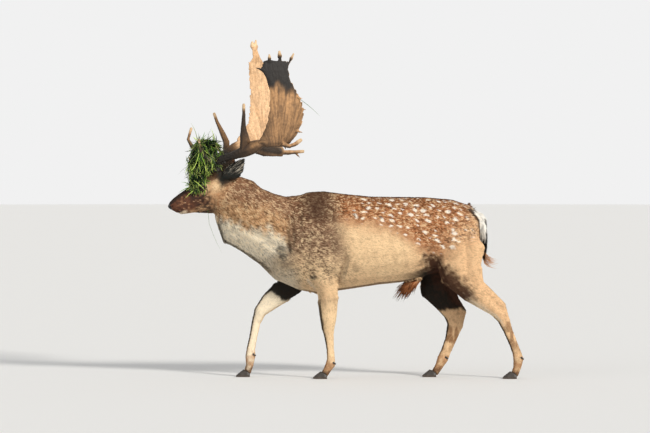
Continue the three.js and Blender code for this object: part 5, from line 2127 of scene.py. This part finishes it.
class Group(Graph):
    """A shared node group that turns a noise into a Shade about 1 and a Height."""

    def __init__(self, name: str, inputs: dict[str, float]) -> None:
        """Starts the group.

        Args:
            name: The group's name.
            inputs: Its number inputs and their usual values, Strength among them.
        """
        super().__init__(bpy.data.node_groups.new(name, "ShaderNodeTree"))
        for key, value in inputs.items():
            socket = self.tree.interface.new_socket(name=key, in_out="INPUT", socket_type="NodeSocketFloat")
            socket.default_value = value
        for key in ("Shade", "Height"):
            self.tree.interface.new_socket(name=key, in_out="OUTPUT", socket_type="NodeSocketFloat")
        self.given = self.tree.nodes.new("NodeGroupInput").outputs
        self.out = self.tree.nodes.new("NodeGroupOutput").inputs

    def ended(self, noise: Socket, reach: float) -> Tree:
        """Joins the group's outputs.

        Args:
            noise: A noise about 0.5.
            reach: How far from 0.5 the noise makes the full change of shade.

        Returns:
            The finished group.
        """
        low = self.add("Math", {0: 1.0, 1: self.given["Strength"]}, operation="SUBTRACT").outputs[0]
        high = self.add("Math", {0: 1.0, 1: self.given["Strength"]}, operation="ADD").outputs[0]
        limits = {"From Min": 0.5 - reach, "From Max": 0.5 + reach, "To Min": low, "To Max": high}
        self.feed(self.out["Shade"], self.add("MapRange", {"Value": noise, **limits}).outputs[0])
        self.feed(self.out["Height"], noise)
        return self.tree


def hair_grain() -> Tree:
    """Fine streaks along the lie of the hair, as a shade and a height."""
    group = Group("hair_grain", {"Upright": 0.0, "Fineness": 1.0, "Strength": 0.2})
    place = group.add("TexCoord").outputs["Object"]
    streaks = []
    for name, scale in (("along the body", (45, 330, 330)), ("up and down", (330, 330, 45))):
        spread = group.add("Mapping", {"Vector": place, "Scale": scale}, label=name).outputs[0]
        grain = {"Vector": spread, "Scale": group.given["Fineness"], "Detail": 3.0}
        streaks.append(group.add("TexNoise", grain).outputs["Fac"])
    mixed = group.add("Mix", {0: group.given["Upright"], 2: streaks[0], 3: streaks[1]})
    return group.ended(mixed.outputs[0], 0.2)


def strands() -> Tree:
    """Single hairs within a tuft, as a shade about 1 and a height."""
    group = Group("strands", {"Count": 3.0, "Strength": 0.2})
    across = group.add("Attribute", attribute_name=STRAND).outputs["Fac"]
    lines = {"W": across, "Scale": group.given["Count"], "Detail": 2.0}
    return group.ended(group.add("TexNoise", lines, noise_dimensions="1D").outputs["Fac"], 0.2)


def mottling() -> Tree:
    """Soft blotches and fine specks, as a shade about 1 and a height."""
    group = Group("mottling", {"Blotch": 40.0, "Speck": 600.0, "Strength": 0.15})
    place = group.add("TexCoord").outputs["Object"]
    blotch = group.add("TexNoise", {"Vector": place, "Scale": group.given["Blotch"], "Detail": 4.0})
    speck = group.add("TexNoise", {"Vector": place, "Scale": group.given["Speck"], "Detail": 2.0})
    mixed = group.add("Mix", {0: 0.4, 2: blotch.outputs["Fac"], 3: speck.outputs["Fac"]})
    return group.ended(mixed.outputs[0], 0.15)


def mottled(blotch: float, speck: float, strength: float) -> tuple[tuple[str, float], ...]:
    """Values for the mottling group."""
    return (("Blotch", blotch), ("Speck", speck), ("Strength", strength))


@dataclass(frozen=True)
class Finish:
    """One surface finish: the piece's own colour, varied and roughened by a shared group."""

    name: str
    roughness: float
    bump: float
    relief: float
    coat: float = 0.0
    specular: float = 0.5
    grain: tuple[tuple[str, float], ...] = ()
    group: str = "mottling"
    bare_roughness: float | None = None

    def material(self, groups: dict[str, Tree]) -> bpy.types.Material:
        """Builds the material.

        Args:
            groups: The shared node groups by name.

        Returns:
            The material.
        """
        material = bpy.data.materials.new(self.name)
        material.use_nodes = True
        graph = Graph(material.node_tree)
        shader = graph.tree.nodes["Principled BSDF"]
        hue = graph.add("Attribute", attribute_name=HUE)
        group = graph.add("Group", node_tree=groups[self.group])
        for key, value in self.grain:
            group.inputs[key].default_value = value
        if self.group == "hair_grain":
            upright = graph.add("Attribute", attribute_name=UPRIGHT)
            graph.feed(group.inputs["Upright"], upright.outputs["Fac"])
        tinted = {0: hue.outputs["Color"], "Scale": group.outputs["Shade"]}
        colour = graph.add("VectorMath", tinted, operation="SCALE")
        graph.feed(shader.inputs["Base Color"], colour.outputs[0])
        height = group.outputs["Height"]
        if self.bare_roughness is not None:
            bare = graph.add("Attribute", attribute_name=BARE)
            place = graph.add("TexCoord").outputs["Object"]
            pebbles = graph.add("TexVoronoi", {"Vector": place, "Scale": 620.0})
            mixed = graph.add("Mix", {0: bare.outputs["Fac"], 2: height, 3: pebbles.outputs["Distance"]})
            height = mixed.outputs[0]
            limits = {2: self.roughness, 3: self.bare_roughness}
            rough = graph.add("Mix", {0: bare.outputs["Fac"], **limits}).outputs[0]
        else:
            limits = {"To Min": self.roughness - 0.06, "To Max": self.roughness + 0.06}
            rough = graph.add("MapRange", {"Value": height, **limits}).outputs[0]
        graph.feed(shader.inputs["Roughness"], rough)
        bump = graph.add("Bump", {"Height": height, "Strength": self.bump, "Distance": self.relief})
        graph.feed(shader.inputs["Normal"], bump.outputs[0])
        shader.inputs["Coat Weight"].default_value = self.coat
        shader.inputs["Specular IOR Level"].default_value = self.specular
        return material


FINISHES = {
    "skin": Finish(
        "fur_skin", 0.78, 0.6, 0.0012, specular=0.25, group="hair_grain", bare_roughness=0.32,
        grain=(("Strength", 0.22), ("Fineness", 1.0)),
    ),
    "coat": Finish(
        "deer_coat", 0.72, 0.2, 0.0004, specular=0.15, group="strands",
        grain=(("Strength", 0.16), ("Count", 2.6)),
    ),
    "antler": Finish("antler_bone", 0.6, 0.8, 0.0014, specular=0.35, grain=mottled(90.0, 380.0, 0.26)),
    "horn": Finish("claw_horn", 0.45, 0.4, 0.0006, grain=mottled(90.0, 700.0, 0.2)),
    "eye": Finish("wet_eye", 0.08, 0.02, 0.0001, coat=0.12, specular=0.2, grain=mottled(200.0, 900.0, 0.08)),
    "mat": Finish("grass_mat", 0.9, 0.5, 0.002, specular=0.1, grain=mottled(120.0, 500.0, 0.5)),
    "grass": Finish("wet_grass", 0.42, 0.3, 0.0005, grain=mottled(60.0, 500.0, 0.18)),
}


@dataclass
class Studio:
    """The pale floor, the soft lamps and the camera."""

    body: Body
    distance: float = 20.0
    view_width: float = 3.0875
    aim: tuple[float, float] = (-0.104, 0.767)
    camera_height: float = 1.1
    sensor: float = 36.0

    def build(self) -> None:
        """Sets everything up."""
        bpy.context.scene.view_settings.view_transform = "Standard"
        self.camera()
        self.floor()
        self.world()
        self.sun("key", (3.6, -4.9, 3.0), 2.75, 11.0, (1.0, 0.965, 0.91))
        self.sun("fill", (-4.0, -3.0, 2.0), 0.3, 40.0, (0.92, 0.96, 1.0))

    def camera(self) -> None:
        """Places the camera at the height of the buck's back, square to its side."""
        data = bpy.data.cameras.new("camera")
        data.sensor_width = self.sensor
        data.lens = self.sensor * self.distance / self.view_width
        data.clip_end = 200.0
        place = Vector((self.aim[0], self.body.middle - self.distance, self.camera_height))
        aim = Vector((self.aim[0], self.body.middle, self.aim[1]))
        camera = self.aimed("camera", data, aim - place)
        camera.location = place
        bpy.context.scene.camera = camera

    def aimed(self, name: str, data: bpy.types.ID, way: Vector) -> Object:
        """Adds a camera or a lamp that faces one way."""
        obj = bpy.data.objects.new(name, data)
        obj.rotation_euler = way.to_track_quat("-Z", "Y").to_euler()
        bpy.context.scene.collection.objects.link(obj)
        return obj

    def floor(self) -> None:
        """Makes the plain pale floor."""
        mesh = bpy.data.meshes.new("floor")
        with reshaped(mesh) as bm:
            bmesh.ops.create_circle(bm, cap_ends=True, radius=60.0, segments=96)
        floor = add_object("floor", mesh)
        material = bpy.data.materials.new("floor")
        material.use_nodes = True
        shader = material.node_tree.nodes["Principled BSDF"]
        shader.inputs["Base Color"].default_value = (0.88, 0.88, 0.87, 1)
        shader.inputs["Roughness"].default_value = 0.9
        mesh.materials.append(material)

    def world(self) -> None:
        """Lights the sky evenly."""
        world = bpy.data.worlds.new("studio")
        world.use_nodes = True
        graph = Graph(world.node_tree)
        sky = graph.tree.nodes["Background"]
        sky.inputs["Color"].default_value = (1, 1, 1, 1)
        path = graph.add("LightPath").outputs
        seen = graph.add("Math", {0: path["Is Camera Ray"], 1: path["Is Glossy Ray"]}, operation="MAXIMUM")
        strength = graph.add("Mix", {0: seen.outputs[0], 2: 0.46, 3: 0.88})
        graph.feed(sky.inputs["Strength"], strength.outputs[0])
        bpy.context.scene.world = world

    def sun(self, name: str, place: tuple, strength: float, spread: float, tint: tuple) -> None:
        """Adds one wide, soft light that shines from place towards the buck.

        Args:
            name: The lamp's name.
            place: Where it shines from.
            strength: Its strength.
            spread: Its width in degrees.
            tint: Its colour.
        """
        data = bpy.data.lights.new(name, "SUN")
        data.energy, data.angle, data.color = strength, math.radians(spread), tint
        self.aimed(name, data, -Vector(place))


# ---- the buck ----


def main() -> None:
    """Builds the buck, piece by piece."""
    logging.basicConfig(level=logging.INFO, format="%(message)s", force=True)
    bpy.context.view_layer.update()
    body = Body.from_frame()
    Studio(body).build()
    groups = {"hair_grain": hair_grain(), "strands": strands(), "mottling": mottling()}
    finish = {key: item.material(groups) for key, item in FINISHES.items()}
    flesh = Flesh(body)
    surface = Skin(body, flesh, Markings(body))
    skin = surface.build()
    joined(skin, finish["skin"], flesh.nodes)
    for zone, piece in Coat(skin, surface, np.random.default_rng(SEED)).build():
        joined(piece, finish["coat"])
    brushes = Brushes(surface, skin, np.random.default_rng(SEED + 1))
    joined(brushes.tail(), finish["coat"])
    joined(brushes.sheath(), finish["coat"])
    for side in SIDES:
        antler = Antler(side, body)
        joined(antler.build(), finish["antler"], antler.nodes)
        joined(Eye(side, body).build(), finish["eye"], [f"eye_{side}"])
    for foot in map(Foot, LEGS):
        joined(foot.build(), finish["horn"], foot.nodes)
    mat, blades = Wreath(body, np.random.default_rng(SEED + 2)).build()
    joined(mat, finish["mat"], ["grass_wreath"])
    joined(blades, finish["grass"])


if __name__ == "__main__":
    main()
